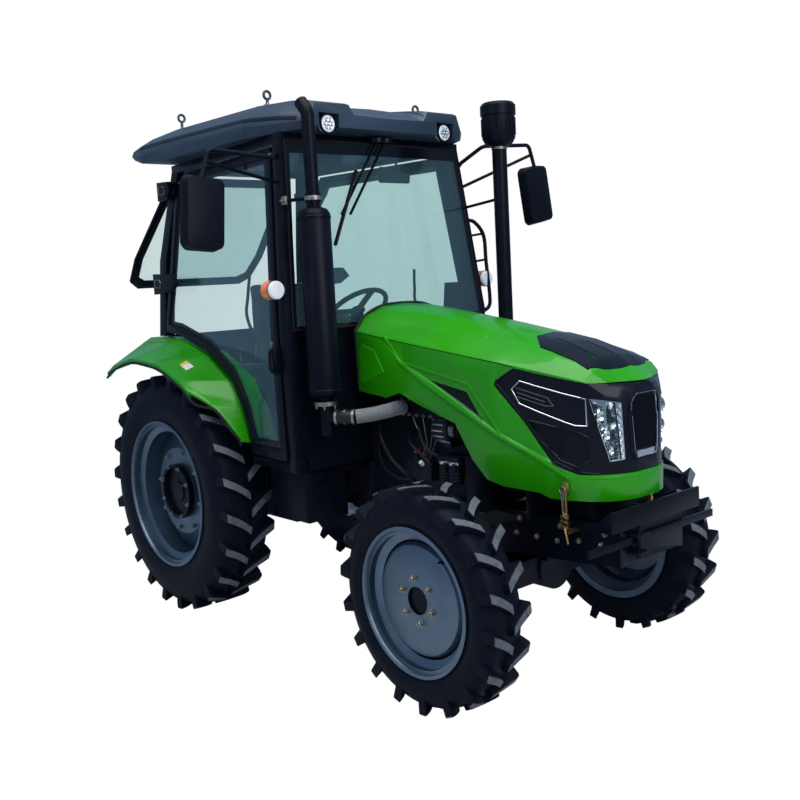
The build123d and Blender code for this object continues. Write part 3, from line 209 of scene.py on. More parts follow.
class Graph:
    """A node tree with short ways to add nodes and feed their inputs."""

    def __init__(self, tree: bpy.types.NodeTree) -> None:
        """Take a tree and clear its nodes."""
        self.tree = tree
        tree.nodes.clear()

    def socket(self, name: str, kind: str, value=None, way: str = "INPUT") -> None:
        """Add a socket to the tree's own interface.

        Args:
            name: the socket's name.
            kind: the end of its type's name, such as Float.
            value: its default value, or None for none.
            way: INPUT or OUTPUT.
        """
        made = self.tree.interface.new_socket(name=name, in_out=way, socket_type=f"NodeSocket{kind}")
        if value is not None:
            made.default_value = value

    def feed(self, target: bpy.types.NodeSocket, value) -> None:
        """Link a socket to an input, or set the input to a plain value."""
        if isinstance(value, bpy.types.NodeSocket):
            self.tree.links.new(value, target)
        else:
            target.default_value = value

    def add(self, kind: str, feeds: dict | None = None, **settings) -> bpy.types.Node:
        """Add a node.

        Args:
            kind: the node's type.
            feeds: what its inputs get, by their name or number: a value or a socket.
            settings: its own properties.

        Returns:
            The node.
        """
        node = self.tree.nodes.new(kind)
        for name, value in settings.items():
            setattr(node, name, value)
        for name, value in (feeds or {}).items():
            self.feed(node.inputs[name], value)
        return node

    def math(self, operation: str, *terms, clamp: bool = False) -> bpy.types.NodeSocket:
        """Work out an operation on values or sockets, and give the result's socket."""
        node = self.add("ShaderNodeMath", dict(enumerate(terms)), operation=operation, use_clamp=clamp)
        return node.outputs[0]

    def blend(self, share, first, second) -> bpy.types.NodeSocket:
        """Mix two colours and give the result's socket."""
        feeds = {"Factor": share, "A": first, "B": second}
        return self.add("ShaderNodeMix", feeds, data_type="RGBA").outputs["Result"]

    def mix_shaders(self, share, first, second) -> bpy.types.NodeSocket:
        """Mix two shaders and give the result's socket."""
        return self.add("ShaderNodeMixShader", {0: share, 1: first, 2: second}).outputs[0]


class WearGroup:
    """The shader node group that mottles colour and roughness and lays dust on upward faces."""

    NAME = "Wear"
    BROAD_SCALE = 2.6
    DUST_COLOR = (0.30, 0.28, 0.25, 1)
    BUMP_DISTANCE = 0.002

    @classmethod
    def get(cls) -> bpy.types.ShaderNodeTree:
        """Make the group once and give it.

        Returns:
            The shader node group.
        """
        if cls.NAME in bpy.data.node_groups:
            return bpy.data.node_groups[cls.NAME]
        graph = Graph(bpy.data.node_groups.new(cls.NAME, "ShaderNodeTree"))
        for name, kind, value in (
            ("Color", "Color", (0.5, 0.5, 0.5, 1)),
            ("Second Color", "Color", (0.4, 0.4, 0.4, 1)),
            ("Roughness", "Float", 0.4),
            ("Spread", "Float", 0.1),
            ("Grain", "Float", 40.0),
            ("Bump", "Float", 0.02),
            ("Dust", "Float", 0.0),
        ):
            graph.socket(name, kind, value)
        for name, kind in (("Color", "Color"), ("Roughness", "Float"), ("Normal", "Vector")):
            graph.socket(name, kind, way="OUTPUT")
        given = graph.add("NodeGroupInput").outputs
        place = graph.add("ShaderNodeTexCoord").outputs["Object"]
        broad, fine = (
            graph.add("ShaderNodeTexNoise", {"Vector": place, "Scale": scale, "Detail": detail}).outputs[0]
            for scale, detail in ((cls.BROAD_SCALE, 5.0), (given["Grain"], 6.0))
        )
        blotches = graph.add("ShaderNodeMapRange", {
            "Value": graph.math("MULTIPLY", broad, fine), "From Min": 0.14, "From Max": 0.40,
        }).outputs["Result"]
        normal = graph.add("ShaderNodeNewGeometry").outputs["Normal"]
        upward = graph.add("ShaderNodeMapRange", {
            "Value": graph.add("ShaderNodeSeparateXYZ", {0: normal}).outputs["Z"], "From Min": -0.1,
        }).outputs["Result"]
        dust = graph.math("MULTIPLY", graph.math("MULTIPLY", upward, blotches), given["Dust"])
        tint = graph.blend(blotches, given["Color"], given["Second Color"])
        swing = graph.math("SUBTRACT", fine, 0.5)
        spread = graph.math("MULTIPLY_ADD", swing, given["Spread"], given["Roughness"])
        bump = {"Distance": cls.BUMP_DISTANCE, "Strength": given["Bump"], "Height": fine}
        graph.add("NodeGroupOutput", {
            "Color": graph.blend(dust, tint, cls.DUST_COLOR),
            "Roughness": graph.math("ADD", spread, dust, clamp=True),
            "Normal": graph.add("ShaderNodeBump", bump).outputs["Normal"],
        })
        return graph.tree


@dataclass
class MaterialShop:
    """Makes each material once from its finish."""

    made: dict[str, bpy.types.Material] = field(default_factory=dict)

    def get(self, name: str) -> bpy.types.Material:
        """Give the material of a finish.

        Args:
            name: the finish's name.

        Returns:
            The Blender material.
        """
        if name not in self.made:
            self.made[name] = self._build(FINISHES[name])
        return self.made[name]

    def _build(self, finish: Finish) -> bpy.types.Material:
        """Build one material's nodes."""
        material = bpy.data.materials.new(finish.name)
        material.use_nodes = True
        graph = Graph(material.node_tree)
        wear = graph.add("ShaderNodeGroup", node_tree=WearGroup.get())
        for name, value in (
            ("Color", (*finish.color, 1)), ("Second Color", (*finish.second, 1)),
            ("Roughness", finish.rough), ("Spread", finish.rough_spread),
            ("Grain", finish.grain), ("Bump", finish.bump), ("Dust", finish.dust),
        ):
            wear.inputs[name].default_value = value
        if finish.kind in HAZE:
            surface = self._glass(graph, wear.outputs["Color"], HAZE[finish.kind])
        else:
            surface = self._solid(graph, wear.outputs, finish)
        graph.add("ShaderNodeOutputMaterial", {"Surface": surface})
        return material

    @staticmethod
    def _solid(graph: Graph, worn, finish: Finish) -> bpy.types.NodeSocket:
        """Make the shader of an opaque finish from the wear group's outputs."""
        feeds = {
            "Base Color": worn["Color"], "Roughness": worn["Roughness"], "Normal": worn["Normal"],
            "Specular IOR Level": finish.shine,
        }
        if finish.kind is Kind.METAL:
            feeds["Metallic"] = 1.0
        if finish.coat:
            feeds |= {"Coat Weight": finish.coat, "Coat Roughness": 0.06}
        if finish.kind is Kind.FABRIC:
            feeds["Sheen Weight"] = 0.3
        if finish.kind is Kind.LENS:
            feeds |= {"Coat Weight": 1.0, "Coat Roughness": 0.03}
        return graph.add("ShaderNodeBsdfPrincipled", feeds).outputs[0]

    @staticmethod
    def _glass(graph: Graph, tint: bpy.types.NodeSocket, haze: float) -> bpy.types.NodeSocket:
        """Make a see-through tinted pane: clear, and glossy by Fresnel, with a little haze."""
        back = graph.add("ShaderNodeNewGeometry").outputs["Backfacing"]
        sides = {"Value": back, "To Min": GLASS_INDEX, "To Max": 1 / GLASS_INDEX}
        index = graph.add("ShaderNodeMapRange", sides).outputs["Result"]
        fresnel = graph.add("ShaderNodeFresnel", {"IOR": index}).outputs["Fac"]
        clear = graph.add("ShaderNodeBsdfTransparent", {"Color": tint}).outputs[0]
        gloss = graph.add("ShaderNodeBsdfGlossy", {"Roughness": 0.02}).outputs[0]
        dull = graph.add("ShaderNodeBsdfDiffuse", {"Color": HAZE_COLOR}).outputs[0]
        return graph.mix_shaders(haze, graph.mix_shaders(fresnel, clear, gloss), dull)


def put(name: str, data) -> bpy.types.Object:
    """Make an object of data and link it to the scene."""
    obj = bpy.data.objects.new(name, data)
    bpy.context.scene.collection.objects.link(obj)
    return obj


def to_mesh(work: bmesh.types.BMesh, name: str) -> bpy.types.Mesh:
    """Turn a bmesh into a mesh, and free the bmesh."""
    mesh = bpy.data.meshes.new(name)
    work.to_mesh(mesh)
    work.free()
    return mesh


def modify(obj: bpy.types.Object, kind: str, **settings) -> None:
    """Give an object a modifier and turn it into the object's mesh at once."""
    modifier = obj.modifiers.new(kind.title(), kind)
    for name, value in settings.items():
        setattr(modifier, name, value)
    apply_modifiers(obj)


def apply_modifiers(obj: bpy.types.Object) -> None:
    """Turn an object's modifiers into its mesh."""
    graph = bpy.context.evaluated_depsgraph_get()
    obj.data = bpy.data.meshes.new_from_object(obj.evaluated_get(graph), depsgraph=graph)
    obj.modifiers.clear()


@dataclass
class Workshop:
    """What every sub-assembly needs: the frame, the materials and shared mesh work.

    weld is the distance in metres at which a CAD mesh's corners are joined, and flat the turn in degrees
    below which its faces are.
    """

    frame: dict
    materials: MaterialShop
    weld: float = 2e-5
    flat: float = 0.6

    def __post_init__(self) -> None:
        """Note which body each CAD node rides on and its material slot."""
        self.body = {node: obj["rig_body"] for node, obj in self.frame["nodes"].items()}
        self.slots = {s["node"]: s["material_slot"] for s in self.frame["record"]["subparts"]}

    def paint(self, obj: bpy.types.Object, finish: str) -> None:
        """Give a piece one material."""
        obj.data.materials.clear()
        obj.data.materials.append(self.materials.get(finish))

    def piece(self, mesh: bpy.types.Mesh, name: str, body: str, finish: str) -> bpy.types.Object:
        """Link a finished mesh as a piece that rides on a body.

        Args:
            mesh: the mesh, in row coordinates.
            name: the piece's name.
            body: the CAD body that carries it.
            finish: the name of its finish.

        Returns:
            The new object.
        """
        obj = put(name, mesh)
        self.paint(obj, finish)
        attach(obj, body)
        return obj

    def smooth(self, mesh: bpy.types.Mesh, angle: float = 32.0) -> None:
        """Shade a mesh smooth, with the edges that turn more than an angle left sharp."""
        work = bmesh.new()
        work.from_mesh(mesh)
        limit = math.radians(angle)
        for face in work.faces:
            face.smooth = True
        for edge in work.edges:
            edge.smooth = len(edge.link_faces) == 2 and edge.calc_face_angle(0.0) < limit
        work.to_mesh(mesh)
        work.free()

    def refine(self, node: str, bevel: float = 0.0, angle: float = 32.0) -> bpy.types.Object:
        """Show a CAD node by a merged, softened copy of the same form.

        Args:
            node: the CAD node's name.
            bevel: the width of the rounded edges in metres, or 0 for none.
            angle: the turn in degrees past which an edge stays sharp.

        Returns:
            The copy, which replaces the node.
        """
        source = self.frame["nodes"][node]
        work = bmesh.new()
        work.from_mesh(source.data)
        bmesh.ops.remove_doubles(work, verts=work.verts, dist=self.weld)
        bmesh.ops.dissolve_limit(
            work, angle_limit=math.radians(self.flat), verts=work.verts, edges=work.edges, delimit={"NORMAL"}
        )
        name = f"{node}_look"
        obj = self.piece(to_mesh(work, name), name, self.body[node], self.slots[node])
        if bevel:
            limit = math.radians(angle)
            modify(obj, "BEVEL", width=bevel, segments=2, limit_method="ANGLE", angle_limit=limit)
        self.smooth(obj.data, angle)
        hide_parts(node)
        return obj


class Shapes:
    """Mesh makers shared by the sub-assemblies, all in row coordinates and metres."""

    MERGE_DISTANCE = 1e-6

    @staticmethod
    def from_bmesh(work: bmesh.types.BMesh, name: str) -> bpy.types.Mesh:
        """Turn a bmesh into a mesh with its faces pointing outwards.

        Args:
            work: the bmesh, which is freed.
            name: the mesh's name.

        Returns:
            The mesh.
        """
        bmesh.ops.remove_doubles(work, verts=work.verts, dist=Shapes.MERGE_DISTANCE)
        bmesh.ops.recalc_face_normals(work, faces=work.faces)
        return to_mesh(work, name)

    @staticmethod
    def join(name: str, meshes, move: Vector) -> bpy.types.Mesh:
        """Copy meshes into one and move it."""
        whole = bmesh.new()
        for mesh in meshes:
            whole.from_mesh(mesh)
        bmesh.ops.translate(whole, verts=whole.verts, vec=move)
        return to_mesh(whole, name)

    @staticmethod
    def bridge(work, rings) -> None:
        """Join each ring of corners to the next by a band of faces."""
        for first, second in zip(rings, rings[1:]):
            for s in range(len(first)):
                t = (s + 1) % len(first)
                work.faces.new((first[s], first[t], second[t], second[s]))

    @staticmethod
    def cap(work, rings) -> None:
        """Close both ends of a row of rings."""
        work.faces.new(rings[0][::-1])
        work.faces.new(rings[-1])

    @staticmethod
    def round_edges(work, edges, width: float) -> None:
        """Round edges over."""
        bmesh.ops.bevel(work, geom=list(edges), offset=width, segments=2, profile=0.6, affect="EDGES")

    @staticmethod
    def lathe(work, profile, centre, axis, steps: int = 96) -> None:
        """Add a profile of (reach along the axis, radius) points turned about an axis."""
        axis = Vector(axis).normalized()
        side = axis.orthogonal().normalized()
        other = axis.cross(side)
        rings = []
        for reach, radius in profile:
            middle = Vector(centre) + axis * reach
            if radius < Shapes.MERGE_DISTANCE:
                rings.append([work.verts.new(middle)])
                continue
            corners = [middle + (side * a + other * b) * radius for _, a, b in around(steps)]
            rings.append([work.verts.new(corner) for corner in corners])
        for first, second in zip(rings, rings[1:]):
            for step in range(steps):
                following = (step + 1) % steps
                corners = dict.fromkeys((
                    first[step % len(first)], first[following % len(first)],
                    second[following % len(second)], second[step % len(second)],
                ))
                if len(corners) > 2:
                    work.faces.new(list(corners))

    @staticmethod
    def tube(work, points, radius: float, sides: int = 14, close: bool = True) -> None:
        """Add a round tube along points, its corners softened by a Catmull-Rom curve."""
        path = Shapes.soft_path(points)
        rings = []
        normal = None
        for index, point in enumerate(path):
            before = path[max(index - 1, 0)]
            after = path[min(index + 1, len(path) - 1)]
            along = (after - before).normalized()
            normal = along.orthogonal() if normal is None else normal - along * normal.dot(along)
            normal.normalize()
            other = along.cross(normal)
            corners = [point + (normal * a + other * b) * radius for _, a, b in around(sides)]
            rings.append([work.verts.new(corner) for corner in corners])
        Shapes.bridge(work, rings)
        if close:
            Shapes.cap(work, rings)

    @staticmethod
    def soft_path(points, cuts: int = 6) -> list[Vector]:
        """Give a smooth path through points."""
        given = [Vector(p) for p in points]
        if len(given) < 3:
            return given
        path = []
        for index in range(len(given) - 1):
            p0 = given[max(index - 1, 0)]
            p1, p2 = given[index], given[index + 1]
            p3 = given[min(index + 2, len(given) - 1)]
            for cut in range(cuts):
                t = cut / cuts
                path.append(0.5 * (
                    2 * p1 + (p2 - p0) * t + (2 * p0 - 5 * p1 + 4 * p2 - p3) * t * t
                    + (3 * p1 - p0 - 3 * p2 + p3) * t ** 3
                ))
        path.append(given[-1])
        return path

    @staticmethod
    def box(work, low, high, turn: Matrix | None = None, round_edge: float = 0.0) -> None:
        """Add a box between two corners, turned about its middle, with its edges rounded over."""
        low, high = Vector(low), Vector(high)
        middle, size = (low + high) / 2, high - low
        place = Matrix.Translation(middle) @ (turn.to_4x4() if turn else Matrix.Identity(4))
        made = bmesh.ops.create_cube(work, size=1.0, matrix=place @ Matrix.Diagonal((*size, 1)))
        if round_edge:
            Shapes.round_edges(work, {edge for vert in made["verts"] for edge in vert.link_edges}, round_edge)

    @staticmethod
    def prism(work, outline, offset, round_edge: float) -> None:
        """Add a flat outline drawn out by an offset, with its rims rounded over."""
        near = [work.verts.new(place) for place in outline]
        far = [work.verts.new(vert.co + Vector(offset)) for vert in near]
        ends = (work.faces.new(near[::-1]), work.faces.new(far))
        Shapes.bridge(work, (near, far))
        Shapes.round_edges(work, {edge for face in ends for edge in face.edges}, round_edge)

    @staticmethod
    def bolt(work, place, axis, across: float, height: float) -> None:
        """Add a hexagon bolt head on its washer, standing on a face."""
        axis = Vector(axis).normalized()
        foot = Vector(place) + axis * 0.002
        washer, corner, chamfer, socket = (across * share for share in (0.78, 0.56, 0.44, 0.26))
        Shapes.lathe(work, ((0, 0), (0, washer), (0.0022, washer), (0.0022, 0)), place, axis, 20)
        head = ((0, 0), (0, corner), (height * 0.82, corner), (height, chamfer), (height, 0))
        Shapes.lathe(work, head, foot, axis, 6)
        stud = ((height, 0), (height, socket), (height + 0.006, socket), (height + 0.006, 0))
        Shapes.lathe(work, stud, foot, axis, 12)


class RingTree:
    """A Geometry Nodes tree that repeats the incoming mesh round the Y axis."""

    NAME = "Repeat round axle"

    @classmethod
    def get(cls) -> bpy.types.NodeTree:
        """Make the tree once and give it."""
        if cls.NAME in bpy.data.node_groups:
            return bpy.data.node_groups[cls.NAME]
        graph = Graph(bpy.data.node_groups.new(cls.NAME, "GeometryNodeTree"))
        for name, kind, value in (
            ("Geometry", "Geometry", None), ("Count", "Int", 12), ("Start", "Float", 0.0),
            ("Material", "Material", None),
        ):
            graph.socket(name, kind, value)
        graph.socket("Geometry", "Geometry", way="OUTPUT")
        given = graph.add("NodeGroupInput").outputs
        points = graph.add("GeometryNodePoints", {"Count": given["Count"]}).outputs[0]
        step = graph.math("DIVIDE", 2 * math.pi, given["Count"])
        index = graph.add("GeometryNodeInputIndex").outputs[0]
        turn = graph.math("MULTIPLY_ADD", index, step, given["Start"])
        angles = graph.add("ShaderNodeCombineXYZ", {"Y": turn}).outputs[0]
        copies = graph.add("GeometryNodeInstanceOnPoints", {
            "Points": points, "Instance": given["Geometry"], "Rotation": angles,
        }).outputs[0]
        real = graph.add("GeometryNodeRealizeInstances", {0: copies}).outputs[0]
        painted = graph.add("GeometryNodeSetMaterial", {"Geometry": real, "Material": given["Material"]})
        graph.add("NodeGroupOutput", {0: painted.outputs[0]})
        return graph.tree

    @classmethod
    def repeat(cls, mesh: bpy.types.Mesh, count: int, start: float, material) -> bpy.types.Mesh:
        """Repeat a mesh round the Y axis.

        Args:
            mesh: one copy, measured from the axle's middle.
            count: how many copies go round.
            start: the first copy's turn in radians.
            material: the material of every copy.

        Returns:
            One plain mesh with every copy in it.
        """
        tree = cls.get()
        holder = put("Holder", mesh)
        modifier = holder.modifiers.new("Round", "NODES")
        modifier.node_group = tree
        names = {item.name: item.identifier for item in tree.interface.items_tree if item.in_out == "INPUT"}
        modifier[names["Count"]] = count
        modifier[names["Start"]] = start
        modifier[names["Material"]] = material
        graph = bpy.context.evaluated_depsgraph_get()
        made = bpy.data.meshes.new_from_object(holder.evaluated_get(graph), depsgraph=graph)
        bpy.data.objects.remove(holder)
        return made


@dataclass(frozen=True)
class WheelSpec:
    """Sizes of one wheel in millimetres, as on the solid."""

    name: str
    axle_x: float
    radius: float
    width: float
    track: float
    rim_radius: float
    rim_width: float
    lugs: int
    lug_height: float
    lug_base: float
    sweep: float
    bolt_count: int
    bolt_radius: float
    bolt_inset: float
    bolt_start: float
    dark_radius: float


WHEELS = (
    WheelSpec(
        "front", axle_x=2137.0, radius=498.0, width=216.0, track=1392.0, rim_radius=330.0, rim_width=215.0,
        lugs=18, lug_height=32.0, lug_base=62.0, sweep=78.0,
        bolt_count=6, bolt_radius=98.5, bolt_inset=38.0, bolt_start=0.35, dark_radius=61.5,
    ),
    WheelSpec(
        "rear", axle_x=0.0, radius=695.0, width=305.0, track=1332.0, rim_radius=431.0, rim_width=320.0,
        lugs=22, lug_height=38.0, lug_base=68.0, sweep=112.0,
        bolt_count=8, bolt_radius=232.0, bolt_inset=110.0, bolt_start=0.2, dark_radius=166.0,
    ),
)


# the lug's faces painted pale as a highlight: the one between its top edges, away from both ends
TOP_FACE = 2
HIGHLIGHT_STATIONS = range(1, 6)


@dataclass
class Wheel:
    """A tyre with its carcass and curved lugs, and the rim's nuts and valve."""

    shop: Workshop
    spec: WheelSpec
    side: str

    def build(self) -> None:
        """Make the wheel's fine pieces."""
        spec = self.spec
        self.sign = 1 if self.side == "left" else -1
        self.body = f"wheel_{spec.name}_{self.side}"
        self.centre = Vector((at(spec.axle_x), self.sign * spec.track / 2 * MM, spec.radius * MM))
        self._tyre()
        self._rim()
        self._nuts()

    def _carcass_profile(self) -> list[tuple[float, float]]:
        """Give the carcass from one bead over the tread to the other, as (reach, radius) in metres."""
        spec = self.spec
        tread = spec.radius - spec.lug_height
        half = spec.width / 2
        bead = spec.rim_width / 2 - 10.3
        bulge = spec.rim_width / 2 + 4
        rim = spec.rim_radius
        rise = tread - rim
        right = [
            (bead - 3, rim - 23.5), (bead, rim - 20), (bead, rim + 3), (bead + 5, rim + 0.10 * rise),
            (bead + 7, rim + 0.12 * rise), (bead + 7, rim + 0.15 * rise), (bulge - 2.5, rim + 0.24 * rise),
            (bulge, rim + 0.42 * rise), (bulge - 2, rim + 0.56 * rise), (half - 4, tread - 44),
            (half - 14, tread - 22), (half - 30, tread - 7), (half - 52, tread - 1), (half * 0.3, tread + 1),
        ]
        left = [(-reach, radius) for reach, radius in right]
        return [(reach * MM, radius * MM) for reach, radius in left + [(0, tread + 1.5)] + right[::-1]]

    def _lug(self, hand: int) -> bpy.types.Mesh:
        """Make one lug at the front of the axle, on one half of the tread."""
        spec = self.spec
        half = spec.width / 2
        tread = spec.radius - spec.lug_height
        base, top = spec.lug_base / 2, spec.lug_base / 2 - 10
        # share of the sweep, base reach and drop, tip reach and drop
        stations = (
            (0.00, -5, 10, -4, 1.5),
            (0.05, 0, 8, 1, 0.2),
            (0.30, 0.28 * half, 8, 0.28 * half, 0.0),
            (0.55, 0.55 * half, 9, 0.56 * half, 0.2),
            (0.78, 0.74 * half, 16, 0.82 * half, 0.8),
            (0.93, 0.82 * half, 34, 0.965 * half, 2.5),
            (0.97, 0.88 * half, 48, 0.992 * half, 8),
            (1.00, 0.93 * half, 66, 1.00 * half, 36),
            (1.01, 0.955 * half, 92, 0.985 * half, 90),
        )
        work = bmesh.new()
        rings = []
        for index, (share, reach, drop, tip_reach, tip_drop) in enumerate(stations):
            bow = math.sin(math.pi * min(share, 1.0)) * 0.10 * spec.sweep
            along = (share - 0.5) * spec.sweep + bow
            narrow = 0.80 if index in (0, len(stations) - 1) else 1.0
            tip = spec.radius - tip_drop
            rise = (
                (base, reach, tread - drop), (top + 1.5, tip_reach, tip - 2.5), (top - 2.0, tip_reach, tip),
            )
            ring = []
            for offset, w, r in [(-a, b, c) for a, b, c in rise] + list(rise[::-1]):
                turn = (along + offset * narrow) / spec.radius
                ring.append(work.verts.new(Vector((r * math.cos(turn), hand * w, r * math.sin(turn))) * MM))
            rings.append(ring)
        for index, (first, second) in enumerate(zip(rings, rings[1:])):
            for s in range(5):
                face = work.faces.new((first[s], first[s + 1], second[s + 1], second[s]))
                # the top face away from both ends takes the pale painted highlight
                face.material_index = int(s == TOP_FACE and index in HIGHLIGHT_STATIONS)
            work.faces.new((first[5], first[0], second[0], second[5]))
        Shapes.cap(work, rings)
        return Shapes.from_bmesh(work, "lug")

    def _tyre(self) -> None:
        """Join the carcass and both rows of lugs into one piece."""
        spec = self.spec
        rubber = self.shop.materials.get("tyre")
        pitch = math.pi / spec.lugs
        rows = []
        for hand, start in ((1, 0.0), (-1, pitch)):
            lug = self._lug(hand)
            tops = [polygon.material_index for polygon in lug.polygons]
            mesh = RingTree.repeat(lug, spec.lugs, start, rubber)
            mesh.polygons.foreach_set("material_index", tops * spec.lugs)
            self.shop.smooth(mesh, 28)
            rows.append(mesh)
        work = bmesh.new()
        Shapes.lathe(work, self._carcass_profile(), (0, 0, 0), Vector((0, 1, 0)), 128)
        carcass = Shapes.from_bmesh(work, "carcass")
        self.shop.smooth(carcass, 40)
        mesh = Shapes.join(f"tyre_{spec.name}_{self.side}_look", (carcass, *rows), self.centre)
        faces = [polygon.material_index for polygon in mesh.polygons]
        tyre = self.shop.piece(mesh, mesh.name, self.body, "tyre")
        # the second material is the lugs' pale painted highlight
        tyre.data.materials.append(self.shop.materials.get("lug_top_highlight"))
        tyre.data.polygons.foreach_set("material_index", faces)
        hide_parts(f"tyre_{spec.name}_{self.side}")

    def _off_axle(self, place: Vector) -> float:
        """Give a point's distance from the axle's line."""
        return math.hypot(place.x - self.centre.x, place.z - self.centre.z)

    def _rim(self) -> None:
        """Soften the rim and darken its hub."""
        spec = self.spec
        rim = self.shop.refine(f"rim_{spec.name}_{self.side}", angle=30)
        rim.data.materials.append(self.shop.materials.get("chassis_black"))
        face = self.centre.y + self.sign * (spec.rim_width / 2 - spec.bolt_inset) * MM
        for polygon in rim.data.polygons:
            proud = (polygon.center.y - face) * self.sign
            far = max(self._off_axle(rim.data.vertices[v].co) for v in polygon.vertices)
            hub = far < spec.dark_radius * MM + 0.001
            if hub and (spec.name == "front" or proud > 0.0005 or self._off_axle(polygon.center) < 0.14):
                polygon.material_index = 1

    def _bolt_ring(self, radius: float, reach: float, size: tuple[float, float], count: int, start: float):
        """Repeat a bolt head round the axle.

        Args:
            radius: the ring's radius.
            reach: its distance from the wheel's middle, outwards.
            size: the head's width and height.
            count: how many bolts go round.
            start: the first one's turn in radians.

        Returns:
            The ring's mesh.
        """
        work = bmesh.new()
        Shapes.bolt(work, (radius, reach, 0), (0, self.sign, 0), *size)
        head = Shapes.from_bmesh(work, "head")
        return RingTree.repeat(head, count, start, self.shop.materials.get("latch_brass"))

    def _nuts(self) -> None:
        """Add the nuts and the valve."""
        spec = self.spec
        reach = (spec.rim_width / 2 - spec.bolt_inset) * MM * self.sign
        nuts = self._bolt_ring(spec.bolt_radius * MM, reach, (0.022, 0.016), spec.bolt_count, spec.bolt_start)
        rings = [nuts]
        if spec.name == "rear":
            hub = (spec.rim_width / 2 - 70) * MM * self.sign
            rings.append(self._bolt_ring(0.152, hub, (0.016, 0.010), 8, 0.4))
        mesh = Shapes.join(f"nuts_{spec.name}_{self.side}", rings, self.centre)
        self.shop.smooth(mesh, 30)
        self.shop.piece(mesh, mesh.name, self.body, "worn_zinc")
        work = bmesh.new()
        turn = 0.9
        radius = (spec.rim_radius - 58) * MM
        foot = self.centre + Vector((radius * math.cos(turn), reach * 0.55, radius * math.sin(turn)))
        bends = ((0, 0, 0), (-0.012, self.sign * 0.02, -0.012), (-0.014, self.sign * 0.045, -0.014))
        Shapes.tube(work, [foot + Vector(bend) for bend in bends], 0.0045, 10)
        valve = Shapes.from_bmesh(work, "valve")
        self.shop.piece(valve, f"valve_{spec.name}_{self.side}", self.body, "black_plastic")


class Skin:
    """Finds points on the outer face of solids, for what lies on them."""

    FAR = 5.0

    def __init__(self, objects: list[bpy.types.Object]) -> None:
        """Gather the faces of the solids.

        Args:
            objects: the solids.
        """
        points, faces = [], []
        for obj in objects:
            start = len(points)
            points += [obj.matrix_world @ v.co for v in obj.data.vertices]
            faces += [tuple(start + i for i in p.vertices) for p in obj.data.polygons]
        self.tree = BVHTree.FromPolygons(points, faces)

    def hit(self, start: Vector, along: Vector) -> tuple[Vector, Vector] | None:
        """Give where a ray first meets the solids and the face's normal, turned to the ray's start."""
        place, normal, _, _ = self.tree.ray_cast(start, along)
        if place is None:
            return None
        return place, normal if normal.dot(along) < 0 else -normal

    def side(self, x: float, z: float, sign: int) -> tuple[Vector, Vector] | None:
        """Meet the side face at x ahead of the rear axle and z, in millimetres."""
        return self.hit(Vector((at(x), sign * 2.0, z * MM)), Vector((0, -sign, 0)))

    def front(self, y: float, z: float) -> tuple[Vector, Vector] | None:
        """Meet the front face at y and z, in millimetres."""
        return self.hit(Vector((self.FAR, y * MM, z * MM)), Vector(BACK))

    def top(self, x: float, y: float) -> tuple[Vector, Vector] | None:
        """Meet the top face at x ahead of the rear axle and y, in millimetres."""
        return self.hit(Vector((at(x), y * MM, self.FAR)), Vector(DOWN))


def spread(points, gap: float = 18.0, closed: bool = False) -> list[tuple[float, float]]:
    """Add points in between on a path's straight parts, at most a gap apart."""
    ends = list(points) + ([points[0]] if closed else [])
    filled = []
    for (a0, b0), (a1, b1) in zip(ends, ends[1:]):
        cuts = max(1, round(math.hypot(a1 - a0, b1 - b0) / gap))
        filled += [(a0 + (a1 - a0) * k / cuts, b0 + (b1 - b0) * k / cuts) for k in range(cuts)]
    return filled if closed else filled + [ends[-1]]


# the pieces of each finish; a piece of one side only has the side's name added
PIECES = {
    "amber_lens": "signal_amber",
    "black_plastic": "door_handle grab_rail step_rail signal_cups work_lamp_rims hinge_covers intake_ribs "
                     "cab_controls roof_vents wall_lining",
    "bright_steel": "engine_steel alternator_fins",
    "cap_red": "oil_cap",
    "cast_grey": "filter_ribs",
    "chassis_black": "muffler_seams",
    "chrome": "mask_chrome lamp_rims grille_arch grille_plate gauge_rims wheel_ring",
    # the cheek pits and the muffler outlet in this finish are painted shade
    "dark_mesh_and_painted_shade": "hood_seams cheek_pits grille_slats muffler_outlet",
    "green_paint": "hood_creases nose_bead fender_ribs",
    "heat_wrap": "exhaust_wrap",
    "hose": "exhaust_hose engine_hoses",
    "hydraulic_blue": "side_cylinder",
    "label_yellow": "fender_label_head",
    "lamp_lens": "lamp_bulbs signal_clear work_lamp_lens",
    "latch_brass": "latch_blocks",
    "mask_black": "vent_front mask_frames grille_frame screen_band door_border cab_knobs wheel_cap",
    "mirror_glass": "mirror_panes inner_mirror",
    "plain_white": "fender_label sensor gauge_faces",
    "red_lens": "rear_lamp_lens gauge_needles",
    "reflector": "lamp_dishes lamp_facets lamp_boxes work_lamp_leds",
    "roof_dark": "roof_bands",
    "roof_plastic": "headlining",
    "rubber": "hood_seal hood_lip screen_seal door_seal mirror_edges wiper_rubber roof_seams fender_edge "
              "fan_belt floor_mat lever_boots seat_piping",
    "seat_fabric": "arm_pads",
    "worn_zinc": "mask_bars door_lock door_bolts mirror_clamps wiper_pivots eye_washers hinge_marks "
                 "stack_clamps stack_bracket intake_bands engine_bolts engine_pipes knuckle_bolts "
                 "latch_wires cab_steel",
}
FINISH_OF = {piece: finish for finish, pieces in PIECES.items() for piece in pieces.split()}


